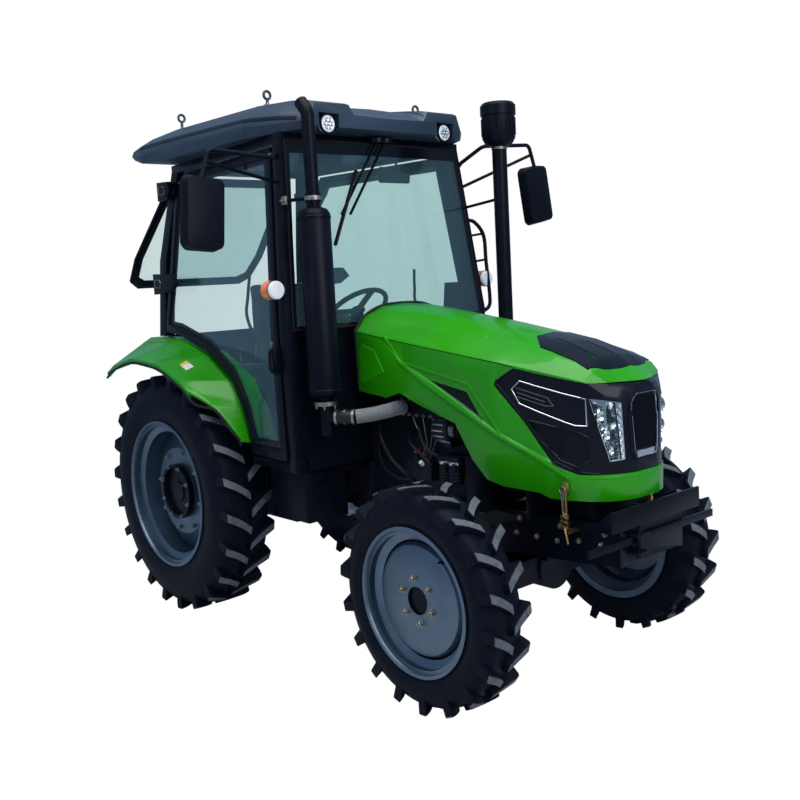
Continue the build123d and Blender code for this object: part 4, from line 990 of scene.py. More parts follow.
@dataclass
class Builder:
    """A sub-assembly: it gathers meshes by name and body, then links each as one piece.

    Its methods take points in millimetres, x ahead of the rear axle, or row points as vectors.
    Radii, profiles and rounded edges are in metres.
    """

    shop: Workshop
    body: str = "chassis"
    works: dict[tuple[str, str], bmesh.types.BMesh] = field(default_factory=dict)

    def work(self, name: str) -> bmesh.types.BMesh:
        """Give the bmesh that gathers one piece of the body at hand."""
        return self.works.setdefault((name, self.body), bmesh.new())

    def link(self) -> None:
        """Turn each gathered bmesh into a piece."""
        for (name, body), work in self.works.items():
            if not work.verts:
                continue
            mesh = Shapes.from_bmesh(work, name)
            self.shop.smooth(mesh)
            self.shop.piece(mesh, name, body, FINISH_OF[name.removesuffix("_left").removesuffix("_right")])
            log.info("%s: %d faces", name, len(mesh.polygons))

    def box(self, name: str, low, high, turn: Matrix | None = None, edge: float = 0.0) -> None:
        """Add a box between two corners."""
        Shapes.box(self.work(name), row(low), row(high), turn, edge)

    def block(self, name: str, middle: Vector, half, turn: Matrix | None = None, edge: float = 0.0) -> None:
        """Add a box round its middle, with half its size in metres."""
        Shapes.box(self.work(name), middle - Vector(half), middle + Vector(half), turn, edge)

    def pipe(self, name: str, points, radius: float, sides: int = 14, close: bool = True) -> None:
        """Add a round tube along points."""
        Shapes.tube(self.work(name), [row(p) for p in points], radius, sides, close)

    def turned(self, name: str, profile, centre, axis, steps: int = 96) -> None:
        """Add a profile turned about an axis."""
        Shapes.lathe(self.work(name), profile, row(centre), axis, steps)

    def bolt(self, name: str, point, axis, across: float, height: float) -> None:
        """Add a hexagon bolt head on its washer."""
        Shapes.bolt(self.work(name), row(point), axis, across, height)

    def ribbon(self, name: str, points, find, width: float, rise: float, closed: bool = False) -> None:
        """Lay a strip with a rounded top along a path on a face.

        Args:
            name: the piece's name.
            points: the path's corners as find takes them.
            find: the method that meets the face for one point.
            width: the strip's width in millimetres.
            rise: how far it stands off the face in millimetres.
            closed: whether the path's end joins its start.
        """
        work = self.work(name)
        met = [m for m in (find(a, b) for a, b in spread(points, closed=closed)) if m is not None]
        if len(met) < 2:
            return
        half = ((0.5, -SINK), (0.5, rise * 0.55), (0.32, rise))
        profile = [(-across, height) for across, height in half] + list(half[::-1])
        rings = []
        for index, (place, normal) in enumerate(met):
            before = met[index - 1][0] if closed or index else place
            after = met[(index + 1) % len(met)][0] if closed or index + 1 < len(met) else place
            across = (after - before).normalized().cross(normal).normalized()
            corners = [place + across * (a * width * MM) + normal * (h * MM) for a, h in profile]
            rings.append([work.verts.new(corner) for corner in corners])
        Shapes.bridge(work, rings + rings[:1] if closed else rings)
        if not closed:
            Shapes.cap(work, rings)

    def patch(self, name: str, outline, find, rise: float, edge: float) -> None:
        """Raise a pressed panel with sloped edges on a face.

        Args:
            name: the piece's name.
            outline: the panel's corners as find takes them.
            find: the method that meets the face for one point.
            rise: how far the panel stands off the face in millimetres.
            edge: the width of its sloped edge in millimetres.
        """
        work = self.work(name)
        u, v = (sum(p[axis] for p in outline) / len(outline) for axis in (0, 1))

        def lay(a: float, b: float, share: float, height: float) -> bmesh.types.BMVert:
            """Raise a point that lies at a share of the way from the middle to a and b."""
            place, normal = find(u + (a - u) * share, v + (b - v) * share)
            return work.verts.new(place + normal * (height * MM))

        filled = spread(outline, 20.0, True)
        rings = [
            [lay(a, b, 1 - inset / max(math.hypot(a - u, b - v), 1.0), height) for a, b in filled]
            for inset, height in ((0.0, -SINK), (0.0, 0.0), (edge * 0.7, rise), (edge * 1.6, rise))
        ]
        rings += [[lay(a, b, share, rise) for a, b in filled] for share in (0.66, 0.33)]
        Shapes.bridge(work, rings)
        top = lay(u, v, 0.0, rise)
        last = rings[-1]
        for first, second in zip(last, last[1:] + last[:1]):
            work.faces.new((first, second, top))


@dataclass
class HoodTrim(Builder):
    """The hood's creases, seams, rubber edge and vent plate trim, and the mask's lamps and grilles."""

    body: str = "hood"

    def build(self) -> None:
        """Make the hood's fine pieces."""
        nodes = self.shop.frame["nodes"]
        self.skin = Skin([nodes["hood"]])
        self.whole = Skin([nodes["hood"], nodes["hood_grilles"]])
        self.mask = Skin([nodes["hood_mask"], nodes["headlamps"], nodes["hood_grilles"]])
        self._lenses()
        for sign in (1, -1):
            self._seams(partial(self.skin.side, sign=sign))
            self._mask_lines(partial(self.mask.side, sign=sign))
            self._headlamp(sign)
        self.ribbon("nose_bead", [(y, 1006) for y in range(-240, 241, 20)], self.skin.front, 9.0, 1.8)
        self._vent_front()
        self._grille()
        self._rubber()
        self.link()

    def _lenses(self) -> None:
        """Show the headlamps' lenses clear and the marker outlines black."""
        lamps = self.shop.refine("headlamps", angle=30)
        lamps.data.materials.clear()
        for finish in ("clear_lens", "mask_black"):
            lamps.data.materials.append(self.shop.materials.get(finish))
        for polygon in lamps.data.polygons:
            polygon.material_index = int(polygon.center.x < at(2672) and abs(polygon.center.y) > 0.24)

    def _seams(self, find) -> None:
        """Lay one side's seam, Y-shaped crease, pressed panel and vent frame."""
        seam = ((1264, 1617), (1490, 1584), (1610, 1567), (2000, 1514), (2233, 1482), (2318, 1466))
        crease = ((1480, 1596), (1497, 1588), (1600, 1470), (1780, 1370), (2000, 1268), (2226, 1160),
                  (2440, 1074), (2585, 1000))
        branch = ((1600, 1470), (1700, 1450), (2050, 1382), (2085, 1340), (2232, 1168))
        panel = ((1281, 1517), (1309, 1557), (1410, 1530), (1481, 1414), (1308, 1345), (1281, 1360))
        frame = ((1786, 1397), (2044, 1349), (2133, 1222))
        self.ribbon("hood_seams", seam, find, 3.4, 0.5)
        self.ribbon("hood_creases", crease, find, 17.0, 4.6)
        self.ribbon("hood_creases", branch, find, 14.0, 4.2)
        self.patch("hood_creases", panel, find, 3.2, 9.0)
        self.ribbon("hood_creases", frame, find, 7.0, 2.0, closed=True)

    def _vent_front(self) -> None:
        """Bow the vent plate's front edge forward with a black panel that follows the hood's top."""
        work = self.work("vent_front")
        half, rear, steps, columns = 205, 2632, 30, 6
        rows = []
        for step in range(steps + 1):
            y = half * (2 * step / steps - 1)
            reach = 2644 + 62 * (1 - (abs(y) / half) ** 2.6)
            ahead = [rear + (reach - rear) * k / (columns - 1) for k in range(columns)]
            rows.append([self.whole.top(x, y)[0] + Vector((0, 0, 2.2 * MM)) for x in ahead])
        for k in range(columns):
            heights = [line[k].z for line in rows]
            for step in range(1, steps):
                rows[step][k].z = max(sum(heights[step - 1:step + 2]) / 3, heights[step])
        skirt = Vector((0, 0, 5 * MM))
        verts = [[work.verts.new(place) for place in (*line, line[-1] - skirt)] for line in rows]
        for first, second in zip(verts, verts[1:]):
            for k in range(columns):
                work.faces.new((first[k], first[k + 1], second[k + 1], second[k]))

    def _mask_lines(self, find) -> None:
        """Lay one side's chrome lines, bar lamps and cheek frame, with a dark patch of painted shade in the
        cheek's recess.
        """
        marker = ((2307, 1370), (2352, 1407), (2668, 1340), (2668, 1227), (2619, 1227), (2348, 1308))
        bars = (((2330, 1377), (2492, 1341), (2522, 1306)), ((2338, 1356), (2482, 1322)),
                ((2336, 1338), (2488, 1304), (2522, 1306)))
        cheek = ((2380, 1238), (2620, 1200), (2664, 1178), (2674, 1078), (2618, 1050), (2543, 1074),
                 (2450, 1152))
        outer = ((2262, 1436), (2222, 1390), (2372, 1240), (2515, 1068), (2622, 1030), (2700, 1022))
        self.ribbon("mask_chrome", marker, find, 5.5, 2.6, closed=True)
        for bar in bars:
            self.ribbon("mask_bars", bar, find, 3.4, 3.0)
        self.ribbon("mask_frames", cheek, find, 12.0, 5.0, closed=True)
        self.ribbon("mask_frames", outer, find, 9.0, 3.6)
        # a dark matte patch inside the cheek frame: painted shade of the deep recess
        pit = [(x + (2545 - x) * 0.07, z + (1140 - z) * 0.07) for x, z in cheek]
        self.patch("cheek_pits", pit, find, 0.8, 3.0)

    def _headlamp(self, sign: int) -> None:
        """Put bowls, bulbs and facets behind one headlamp's lens, with a chrome rim round it."""
        front = self.mask.front
        outline = [(sign * y, z) for y, z in ((244, 1338), (140, 1316), (128, 1080), (184, 1075))]
        self.ribbon("lamp_rims", outline, front, 5.0, 3.4, closed=True)
        self._facets([(sign * y, z) for y, z in ((162, 1318), (141, 1313), (130, 1083), (140, 1083))])
        for y, z, radius in ((204, 1262, 40), (184, 1180, 32), (170, 1112, 20)):
            middle = front(sign * y, z)[0] + Vector((-0.030, 0, 0))
            aim = (0.92, -sign * 0.36, 0)
            lip = (radius + 3) * MM
            bowl = [(-0.016 + 0.034 * (k / 7) ** 2, radius * MM * k / 7) for k in range(8)]
            bowl += [(0.021, lip), (0.014, lip), (-0.020, 0.012), (-0.020, 0.0)]
            bulb = ((-0.012, 0), (-0.012, 0.010), (0.006, 0.012), (0.014, 0.009), (0.018, 0))
            self.turned("lamp_dishes", bowl, middle, aim, 40)
            self.turned("lamp_bulbs", bulb, middle, aim, 24)
        for step in range(5):
            middle = front(sign * (166 + step * 1.5), 1086 + step * 17)[0] + Vector((-0.034, 0, 0))
            turn = Matrix.Rotation(-sign * 0.5, 3, "Z") @ Matrix.Rotation(0.5, 3, "Y")
            self.block("lamp_facets", middle, (0.004, 0.017, 0.006), turn, 0.0015)
        shroud = self.work("lamp_boxes")
        near, far = (
            [shroud.verts.new(front(y * share, z)[0] + Vector((-depth, 0, 0))) for y, z in outline]
            for share, depth in ((1, 0.007), (0.97, 0.082))
        )
        Shapes.bridge(shroud, (near, far))
        shroud.faces.new(far)

    def _facets(self, outline) -> None:
        """Lay the reflector's facets along the headlamp's inner edge as small shallow pyramids.

        Args:
            outline: y and z of the strip's corners, top outer, top inner, low inner, low outer.
        """
        work = self.work("lamp_facets")
        (a0, z0), (a1, z1), (a2, z2), (a3, z3) = outline
        rows, columns = 14, 2
        for line in range(rows):
            for column in range(columns):
                corners = []
                for r, c in ((line, column), (line, column + 1), (line + 1, column + 1), (line + 1, column)):
                    down, over = r / rows, c / columns
                    y = (a0 + (a3 - a0) * down) * (1 - over) + (a1 + (a2 - a1) * down) * over
                    z = (z0 + (z3 - z0) * down) * (1 - over) + (z1 + (z2 - z1) * down) * over
                    corners.append(self.mask.front(y, z)[0] + Vector((0.0012, 0, 0)))
                rise = 0.0032 if (line + column) % 2 else 0.0008
                top = work.verts.new(sum(corners, Vector()) / 4 + Vector((rise, 0, 0)))
                ring = [work.verts.new(place) for place in corners]
                for first, second in zip(ring, ring[1:] + ring[:1]):
                    work.faces.new((first, second, top))

    def _grille(self) -> None:
        """Lay the nose grille's chrome arch, its frame, its slats and its blank plate."""
        front = self.mask.front
        half = ((64, 1078), (79, 1110), (88, 1230), (86, 1312), (66, 1348))
        arch = [(-y, z) for y, z in half] + list(half[::-1])
        self.ribbon("grille_arch", arch, front, 3.0, 4.0)
        wide = [(y * 1.16, z + (6 if z > 1300 else -4)) for y, z in arch]
        self.ribbon("grille_frame", wide, front, 12.0, 6.0)
        for step in range(-12, 13):
            y = step * 6.4
            high = 1340 - max(0, abs(y) - 62) * 1.2
            self.ribbon("grille_slats", ((y * 0.86, 1112), (y, 1230), (y * 0.97, high)), front, 2.4, 2.4)
        for z in range(1122, 1340, 9):
            reach = 78 - (1340 - z) * 0.045
            self.ribbon("grille_slats", ((-reach, z), (reach, z)), front, 1.8, 1.4)
        self.patch("grille_plate", ((-58, 1076), (-64, 1106), (64, 1106), (58, 1076)), front, 4.0, 3.0)

    def _rubber(self) -> None:
        """Run the rubber seal round the hood's rear edge, and the dark edge along its lower side."""
        edge = ((322, 1318), (329, 1590), (327, 1619), (262, 1692), (144, 1738), (0, 1748))
        lip = ((1264, 1314), (1275, 1313), (1480, 1290), (1586, 1320), (1717, 1272), (1965, 1197),
               (2064, 1036), (2146, 954), (2239, 933), (2440, 926), (2492, 907), (2560, 907))
        for sign in (1, -1):
            self.pipe("hood_seal", [(1262, sign * y, z) for y, z in edge], 0.0085, 10)
            met = [m for m in (self.skin.side(x, z + 5, sign) for x, z in spread(lip, 40.0)) if m]
            path = [place - normal * 0.006 + Vector((0, 0, -0.005)) for place, normal in met]
            self.pipe("hood_lip", path, 0.0042, 8)


def hoop(half: float, inner: float, outer: float) -> tuple[tuple[float, float], ...]:
    """Give the profile of a flat band round an axis."""
    return (-half, inner), (-half, outer), (half, outer), (half, inner)


@dataclass
class CabTrim(Builder):
    """Glass borders, seals, handles, rails, hinges, wipers, lamps and roof trim."""

    def build(self) -> None:
        """Make the cab's fine pieces."""
        self._screen()
        self._signal_lamps()
        self._work_lamps()
        self._mirrors()
        self._step_rail_and_wiper()
        self._roof_trim()
        for side, sign in SIDES:
            self.body = self.shop.body[f"door_{side}"]
            self._door(side, sign)
        self.link()

    def _screen(self) -> None:
        """Paint the dark band round the windscreen and seal its edge."""
        front = Skin([self.shop.frame["nodes"]["cab_glass"]]).front
        band = ((-655, 1652), (-655, 1690), (-577, 2580), (577, 2580), (655, 1690), (655, 1652))
        edge = ((-664, 1648), (-664, 1684), (-585, 2585), (585, 2585), (664, 1684), (664, 1648))
        self.ribbon("screen_band", band, front, 26.0, 1.2, closed=True)
        self.ribbon("screen_band", [(y, 2545) for y in range(-570, 571, 30)], front, 46.0, 1.1)
        self.ribbon("screen_seal", edge, front, 9.0, 4.0, closed=True)

    def _door(self, side: str, sign: int) -> None:
        """Add one door's glass border, seal, handle, lock, hinge bolts and grab rail."""
        nodes = self.shop.frame["nodes"]
        opening = ((-5, 2515), (968, 2515), (1060, 1680), (1068, 1040), (802, 1040), (790, 1055), (712, 1255),
                   (584, 1422), (296, 1568), (-86, 1658), (-246, 1672), (-184, 2040), (-135, 2380))
        find = partial(Skin([nodes[f"door_glass_{side}"]]).side, sign=sign)
        u, v = sum(x for x, _ in opening) / len(opening), 2000
        border, seal = (
            [(x + (u - x) * a, z + (v - z) * b) for x, z in opening]
            for a, b in ((0.035, 0.03), (0.008, 0.008))
        )
        self.ribbon(f"door_border_{side}", border, find, 24.0, 0.8, closed=True)
        self.ribbon(f"door_seal_{side}", seal, find, 9.0, 5.0, closed=True)
        find = partial(Skin([nodes[f"door_{side}"]]).side, sign=sign)
        face = find(1087, 1500)[0]
        grip = ((-0.002, -0.01, 0.05), (-0.004, 0.012, 0.045), (-0.004, 0.014, -0.045),
                (-0.002, -0.01, -0.05))
        self.pipe(f"door_handle_{side}", [face + Vector((x, sign * y, z)) for x, y, z in grip], 0.008, 12)
        self.turned(f"door_lock_{side}", ((0, 0.011), (0.006, 0.011), (0.007, 0.008), (0.007, 0)),
                    face + Vector((0, -sign * 0.001, 0.085)), (0, sign, 0), 24)
        for x, z in ((-150, 1954), (-185, 1954), (-50, 2504), (-80, 2504), (-150, 1886), (-50, 2436)):
            met = find(x, z)
            if met:
                self.bolt(f"door_bolts_{side}", met[0] - met[1] * 0.001, met[1], 0.012, 0.007)
        rail = ((715, 590, 1928), (700, 600, 1820), (700, 612, 1707), (860, 640, 1520), (993, 655, 1335),
                (1060, 662, 1320))
        self.pipe(f"grab_rail_{side}", [(x, sign * y, z) for x, y, z in rail], 0.0085, 12)

    def _signal_lamps(self) -> None:
        """Dress the signal lamps: an amber half behind and a clear half ahead."""
        amber = ((-0.020, 0), (-0.020, 0.0450), (0.030, 0.0462), (0.040, 0.040), (0.042, 0.0))
        clear = ((0.021, 0), (0.021, 0.0450), (0.030, 0.0452), (0.040, 0.040), (0.042, 0.0))
        cup = ((0.019, 0.044), (0.019, 0.0475), (0.024, 0.0475), (0.024, 0.044))
        for sign in (1, -1):
            middle = (1149, sign * 738, 1850)
            self.turned("signal_amber", amber, middle, BACK, 40)
            self.turned("signal_clear", clear, middle, AHEAD, 40)
            self.turned("signal_cups", cup, middle, AHEAD, 40)
            for step in range(5):
                reach = 0.010 + step * 0.006
                ridge = ((0, 0.0446), (0.001, 0.0464), (0.003, 0.0464), (0.004, 0.0446))
                self.turned("signal_amber", [(reach + a, radius) for a, radius in ridge], middle, BACK, 40)

    def _work_lamps(self) -> None:
        """Dress the roof's work lamps with rims and seven lights each, and the rear lamps."""
        rim = ((0.036, 0.050), (0.044, 0.053), (0.051, 0.051), (0.051, 0.044), (0.047, 0.043))
        for sign in (1, -1):
            middle = spot(1186.3, sign * 398, 2656)
            self.turned("work_lamp_rims", rim, middle, AHEAD, 48)
            for radius, count in ((0.0, 1), (0.021, 6)):
                for _, a, b in around(count):
                    place = middle + Vector((0.0485, radius * a, radius * b))
                    self.turned("work_lamp_leds", ((0, 0.0095), (0.003, 0.0095), (0.001, 0.004), (0.001, 0)),
                                place, AHEAD, 20)
                    self.turned("work_lamp_lens", ((0.0005, 0.004), (0.003, 0.0035), (0.004, 0)),
                                place, AHEAD, 14)
            self.turned("rear_lamp_lens", ((0.001, 0.036), (0.010, 0.034), (0.016, 0.024), (0.018, 0)),
                        (-511, sign * 420, 2712), BACK, 32)

    def _mirrors(self) -> None:
        """Put silvered glass on the mirrors' rear faces, rubber round it and clamps on the arms."""
        for sign, x, y, z, lean in ((1, 1250, 1120, 2330, 10), (-1, 1200, 1120, 2215, 5)):
            turn = Matrix.Rotation(math.radians(sign * lean), 4, "X")
            centre = spot(x, sign * y, z)
            outline = []
            for cy, cz in ((1, 1), (-1, 1), (-1, -1), (1, -1)):
                for step in range(7):
                    angle = math.atan2(cz, cy) - math.pi / 4 + step * math.pi / 12
                    outline.append((cy * 56 + 34 * math.cos(angle), cz * 123 + 34 * math.sin(angle)))
            glass = self.work("mirror_panes")
            glass.faces.new([
                glass.verts.new(centre + turn @ Vector((-0.0312, a * MM, b * MM))) for a, b in outline[::-1]
            ])
            path = [centre + turn @ Vector((-0.030, a * 1.04 * MM, b * 1.02 * MM)) for a, b in outline]
            self.pipe("mirror_edges", path + [path[0]], 0.0045, 8, False)
            self.bolt("mirror_clamps", (1084, sign * 654, 2510), (0, sign, 0), 0.015, 0.009)
            self.bolt("mirror_clamps", (1098, sign * 644, 2378), (0, sign, 0), 0.012, 0.008)

    def _step_rail_and_wiper(self) -> None:
        """Add the rail beside the left door, and the wiper's blade and pivots."""
        self.pipe("step_rail", ((1110, 655, 2190), (1135, 700, 2180), (1166, 742, 2100), (1176, 744, 1950),
                                (1196, 742, 1760), (1200, 730, 1690), (1185, 690, 1660)), 0.011, 14)
        for z, x in ((2110, 1130), (1960, 1150)):
            self.pipe("step_rail", ((x, 660, z - 10), (x + 20, 742, z)), 0.007, 10)
        self.pipe("wiper_rubber", ((1176, -188, 2444), (1196, -284, 2250), (1211, -382, 2056)), 0.004, 8)
        for y in (-28, 28):
            self.bolt("wiper_pivots", (1168, y, 2606), (1, 0, 0.25), 0.016, 0.010)

    def _roof_trim(self) -> None:
        """Lay the roof's dark side bands, its seams and the washers under its lifting eyes."""
        roof = Skin([self.shop.frame["nodes"]["roof"]])
        low = ((-470, 2722), (-205, 2727), (400, 2722), (835, 2712), (1060, 2694), (1190, 2680))
        upper = ((-440, 236), (-200, 250), (400, 250), (850, 250), (1060, 250), (1230, 252))
        washer = ((-0.004, 0), (-0.004, 0.020), (0.004, 0.020), (0.006, 0.010), (0.014, 0.010), (0.014, 0))
        for sign in (1, -1):
            self.ribbon("roof_bands", low, partial(roof.side, sign=sign), 22.0, 1.5)
            self.ribbon("roof_seams", [(x, sign * y) for x, y in upper], roof.top, 5.0, 1.0)
            for x in (881, -15):
                height = roof.top(x, sign * 545)[0].z / MM
                self.turned("eye_washers", washer, (x, sign * 513, height + 4), UP, 24)


@dataclass
class HingeCovers(Builder):
    """The doors' hinge covers, each with a pale outlined panel."""

    def build(self) -> None:
        """Make one cover at each hinge."""
        slope = 0.085
        for side, sign in SIDES:
            self.body = self.shop.body[f"door_{side}"]
            for x, z, long, tall in ((-310, 1920, 315, 124), (-262, 2470, 165, 112)):
                y = 572 - 0.09 * (z - 1920)
                shape = ((-18, -tall * 0.5), (long * 0.72, -tall * 0.42), (long, -tall * 0.05),
                         (long * 0.82, tall * 0.42), (-18, tall * 0.5))
                points = [spot(x + a, sign * (y + 22 + slope * a), z + b) for a, b in shape]
                out = (-sign * slope * 0.04, sign * 0.030, 0)
                Shapes.prism(self.work(f"hinge_covers_{side}"), points, out, 0.007)
                panel = ((18, -22), (92, -22), (104, 4), (88, 24), (18, 24))
                path = [(x + a, sign * (y + 53.5 + slope * a), z + b) for a, b in panel]
                for ends in zip(path, path[1:] + path[:1]):
                    self.pipe(f"hinge_marks_{side}", ends, 0.0022, 8)
        self.link()


@dataclass
class Fenders(Builder):
    """The fenders' rubber edges and ribs, and the right one's blank label."""

    def build(self) -> None:
        """Make the fenders' fine pieces."""
        top = Skin([self.shop.frame["nodes"]["fenders"]]).top
        outer = ((-600, 1390), (-500, 1440), (-244, 1492), (65, 1466), (320, 1378), (470, 1290))
        end = ((560, 1205), (640, 1110), (700, 1045))
        for sign in (1, -1):
            path = [(x, sign * 845, z - 30) for x, z in outer]
            path += [(x + 16, sign * (845 - (x - 400) * 0.40), z + 18) for x, z in end]
            self.pipe("fender_edge", path, 0.0075, 10)
            self.ribbon("fender_ribs", [(x, sign * 640) for x in range(-560, 620, 30)], top, 12.0, 2.5)
        self.ribbon("fender_label", ((212, -738), (262, -738)), top, 50.0, 0.8)
        self.ribbon("fender_label_head", ((186, -738), (211, -738)), top, 50.0, 0.8)
        self.link()


@dataclass
class Stacks(Builder):
    """The exhaust's seams, clamps, wrapped bend and bracket, and the intake's bands and ribs."""

    def build(self) -> None:
        """Make the stacks' fine pieces."""
        self._muffler(1296, -568)
        self._bend()
        self._intake(1473, 575)
        self.link()

    def _muffler(self, x: float, y: float) -> None:
        """Trim the muffler and its stack, whose line stands at x and y."""
        for z in (1345, 2190):
            self.turned("muffler_seams", ((-0.007, 0.080), (-0.004, 0.083), (0.004, 0.083), (0.007, 0.080)),
                        (x, y, z), UP, 64)
        # a dark disc in the outlet: painted shade of the pipe's inside
        self.turned("muffler_outlet", ((0, 0.029), (0.0015, 0.029), (0.0015, 0)), (x - 50.5, y, 2745.5),
                    (-0.68, 0, 0.73), 32)
        for z, radius in ((2283, 0.041), (1280, 0.057)):
            self.turned("stack_clamps", hoop(0.010, radius - 0.002, radius + 0.002), (x, y, z), UP, 48)
            self.bolt("stack_clamps", (x + radius * 800, y - radius * 600, z), (0.8, -0.6, 0), 0.013, 0.009)
        for _, a, b in around(4, math.pi / 4):
            self.bolt("stack_clamps", (x + 46 * a, y + 46 * b, 1269), DOWN, 0.014, 0.012)
        self.box("stack_bracket", (1136, -645, 2262), (1170, -628, 2304), None, 0.003)
        self.bolt("stack_bracket", (1153, -645, 2283), (0, -1, 0), 0.014, 0.010)

    def _bend(self) -> None:
        """Lay the exhaust's hose with its clamps, and the wrapped pipe that follows it."""
        start, end = spot(1338, -536, 1208), spot(1410, -484, 1208)
        self.pipe("exhaust_hose", (start, (1380, -512, 1208), end), 0.0345, 28, False)
        for share in (0.0, 0.5, 1.0):
            self.turned("stack_clamps", hoop(0.006, 0.034, 0.0375), start.lerp(end, share), end - start, 32)
        corners = ((1418, -478, 1208), (1470, -410, 1216), (1512, -352, 1228), (1530, -312, 1236),
                   (1530, -262, 1236))
        path = Shapes.soft_path([spot(*corner) for corner in corners], 8)
        for first, second in zip(path, path[1:]):
            along = second - first
            length = along.length
            fold = ((0, 0.0325), (0.001, 0.0362), (length * 0.85, 0.0348), (length * 1.05, 0.0325))
            self.turned("exhaust_wrap", fold, first, along, 28)

    def _intake(self, x: float, y: float) -> None:
        """Trim the intake stack, whose line stands at x and y."""
        for z in (2548, 1460):
            self.turned("intake_bands", hoop(0.007, 0.0395, 0.0423), (x, y, z), UP, 48)
        for turn, a, b in around(24):
            self.block("intake_ribs", spot(x + 91 * a, y + 91 * b, 2660), (0.003, 0.003, 0.045),
                       Matrix.Rotation(turn, 3, "Z"), 0.001)
        lid = ((0, 0.086), (0.004, 0.080), (0.006, 0.03), (0.006, 0))
        self.turned("intake_ribs", lid, (x, y, 2784), UP, 48)


@dataclass
class EngineBay(Builder):
    """Pipes, belt, cap, filter bands and bolts in the open engine bay, and the frame's bolts."""

    # x from, to and step, y, z, head's width and height
    bolt_rows = (
        (1500, 1860, 52, -240, 1198, 0.012, 0.008),
        (1500, 1860, 52, -240, 1272, 0.012, 0.008),
        (1340, 1800, 56, 245, 1226, 0.012, 0.008),
        (1220, 1890, 60, 190, 640, 0.014, 0.009),
        (1220, 1890, 60, -190, 640, 0.014, 0.009),
        (1520, 2560, 118, 220.3, 700, 0.018, 0.012),
        (1520, 2560, 118, -220.3, 700, 0.018, 0.012),
        (2582, 2760, 118, 220.3, 720, 0.018, 0.012),
        (2582, 2760, 118, -220.3, 720, 0.018, 0.012),
        (1540, 2760, 236, 220.3, 770, 0.018, 0.012),
        (1540, 2760, 236, -220.3, 770, 0.018, 0.012),
    )
    # radius and corners of each hose
    hoses = (
        (0.009, (1600, -200, 1170), (1640, -262, 1130), (1700, -268, 1040), (1830, -268, 1004)),
        (0.007, (1520, -196, 1100), (1560, -256, 1060), (1640, -262, 1010), (1720, -262, 960)),
        (0.011, (1260, -196, 1120), (1330, -250, 1060), (1420, -262, 960), (1500, -226, 880),
         (1560, -200, 800)),
        (0.008, (1240, -196, 980), (1330, -236, 900), (1460, -240, 860), (1540, -230, 880)),
        (0.017, (1890, -200, 1120), (1960, -230, 1180), (2080, -236, 1220), (2160, -180, 1230)),
        (0.017, (1880, 150, 1180), (1960, 200, 1200), (2080, 210, 1180), (2160, 180, 1150)),
        (0.009, (1320, 250, 1140), (1420, 262, 1060), (1560, 256, 980), (1720, 240, 900)),
        (0.010, (1240, 200, 1060), (1360, 250, 960), (1520, 262, 880), (1700, 226, 830)),
        (0.010, (1050, -232, 632), (1120, -240, 640), (1200, -226, 700), (1290, -215, 760)),
    )
    # y and z of the belt's run
    belt = ((-62, 1090), (-180, 1190), (-268, 1192), (-300, 1150), (-262, 1108), (-100, 990), (-80, 800),
            (0, 706), (80, 790), (64, 1080), (0, 1142), (-62, 1090))

    def build(self) -> None:
        """Make the engine bay's and driveline's fine pieces."""
        for start, stop, step, y, z, across, height in self.bolt_rows:
            for x in range(start, stop, step):
                self.bolt("engine_bolts", (x, y, z), (0, math.copysign(1, y), 0), across, height)
        for radius, *points in self.hoses:
            self.pipe("engine_hoses", points, radius, 12)
        self.pipe("fan_belt", [(1945, y, z) for y, z in self.belt], 0.006, 8)
        self._filters()
        self._alternator()
        self._injection()
        self.turned("oil_cap", ((0, 0.018), (0.012, 0.018), (0.016, 0.014), (0.016, 0)),
                    (1595, -240, 1010), UP, 24)
        self.turned("sensor", ((0, 0.011), (0.022, 0.011), (0.024, 0.008), (0.024, 0)), (1664, -270, 960),
                    (0, -0.7, 0.7), 20)
        cylinder = ((0, 0), (0, 0.032), (0.006, 0.036), (0.30, 0.036), (0.306, 0.032), (0.34, 0.020),
                    (0.36, 0.020), (0.36, 0))
        self.turned("side_cylinder", cylinder, (700, -232, 632), AHEAD, 32)
        self.link()

    def _filters(self) -> None:
        """Lay bands and ribs round both filters."""
        for x in (1830, 1895):
            self.turned("engine_steel", ((0, 0.0365), (0.004, 0.0375), (0.010, 0.0375), (0.014, 0.0365)),
                        (x, -268, 986), UP, 40)
            for z in (905, 920, 935):
                self.turned("filter_ribs", ((0, 0.0362), (0.002, 0.0375), (0.006, 0.0375), (0.008, 0.0362)),
                            (x, -268, z), UP, 40)

    def _alternator(self) -> None:
        """Add the alternator's pulley and fins."""
        for x, radius in ((1894, 0.058), (1902, 0.052), (1910, 0.058)):
            core = radius * 0.66
            groove = ((-0.003, radius - 0.012), (-0.003, core), (0.003, core), (0.003, radius - 0.02))
            self.turned("engine_steel", groove, (x, -262, 1150), AHEAD, 40)
        for turn, a, b in around(14):
            self.block("alternator_fins", spot(1836, -262 + 62.5 * a, 1150 + 62.5 * b), (0.036, 0.003, 0.003),
                       Matrix.Rotation(turn, 3, "X"), 0.001)

    def _injection(self) -> None:
        """Run four injection pipes from the pump to the head."""
        for step in range(4):
            x = 1540 + step * 78
            bends = ((x, -150, 1330), (x + 8, -196, 1310), (x + 14, -226, 1200),
                     (1640 + step * 22, -232, 1040), (1600 + step * 26, -240, 975))
            self.pipe("engine_pipes", bends, 0.0035, 8)
            self.turned("engine_pipes", ((0, 0.009), (0.02, 0.009), (0.022, 0.006), (0.022, 0)),
                        (x, -140, 1330), (0, -0.8, 0.6), 12)


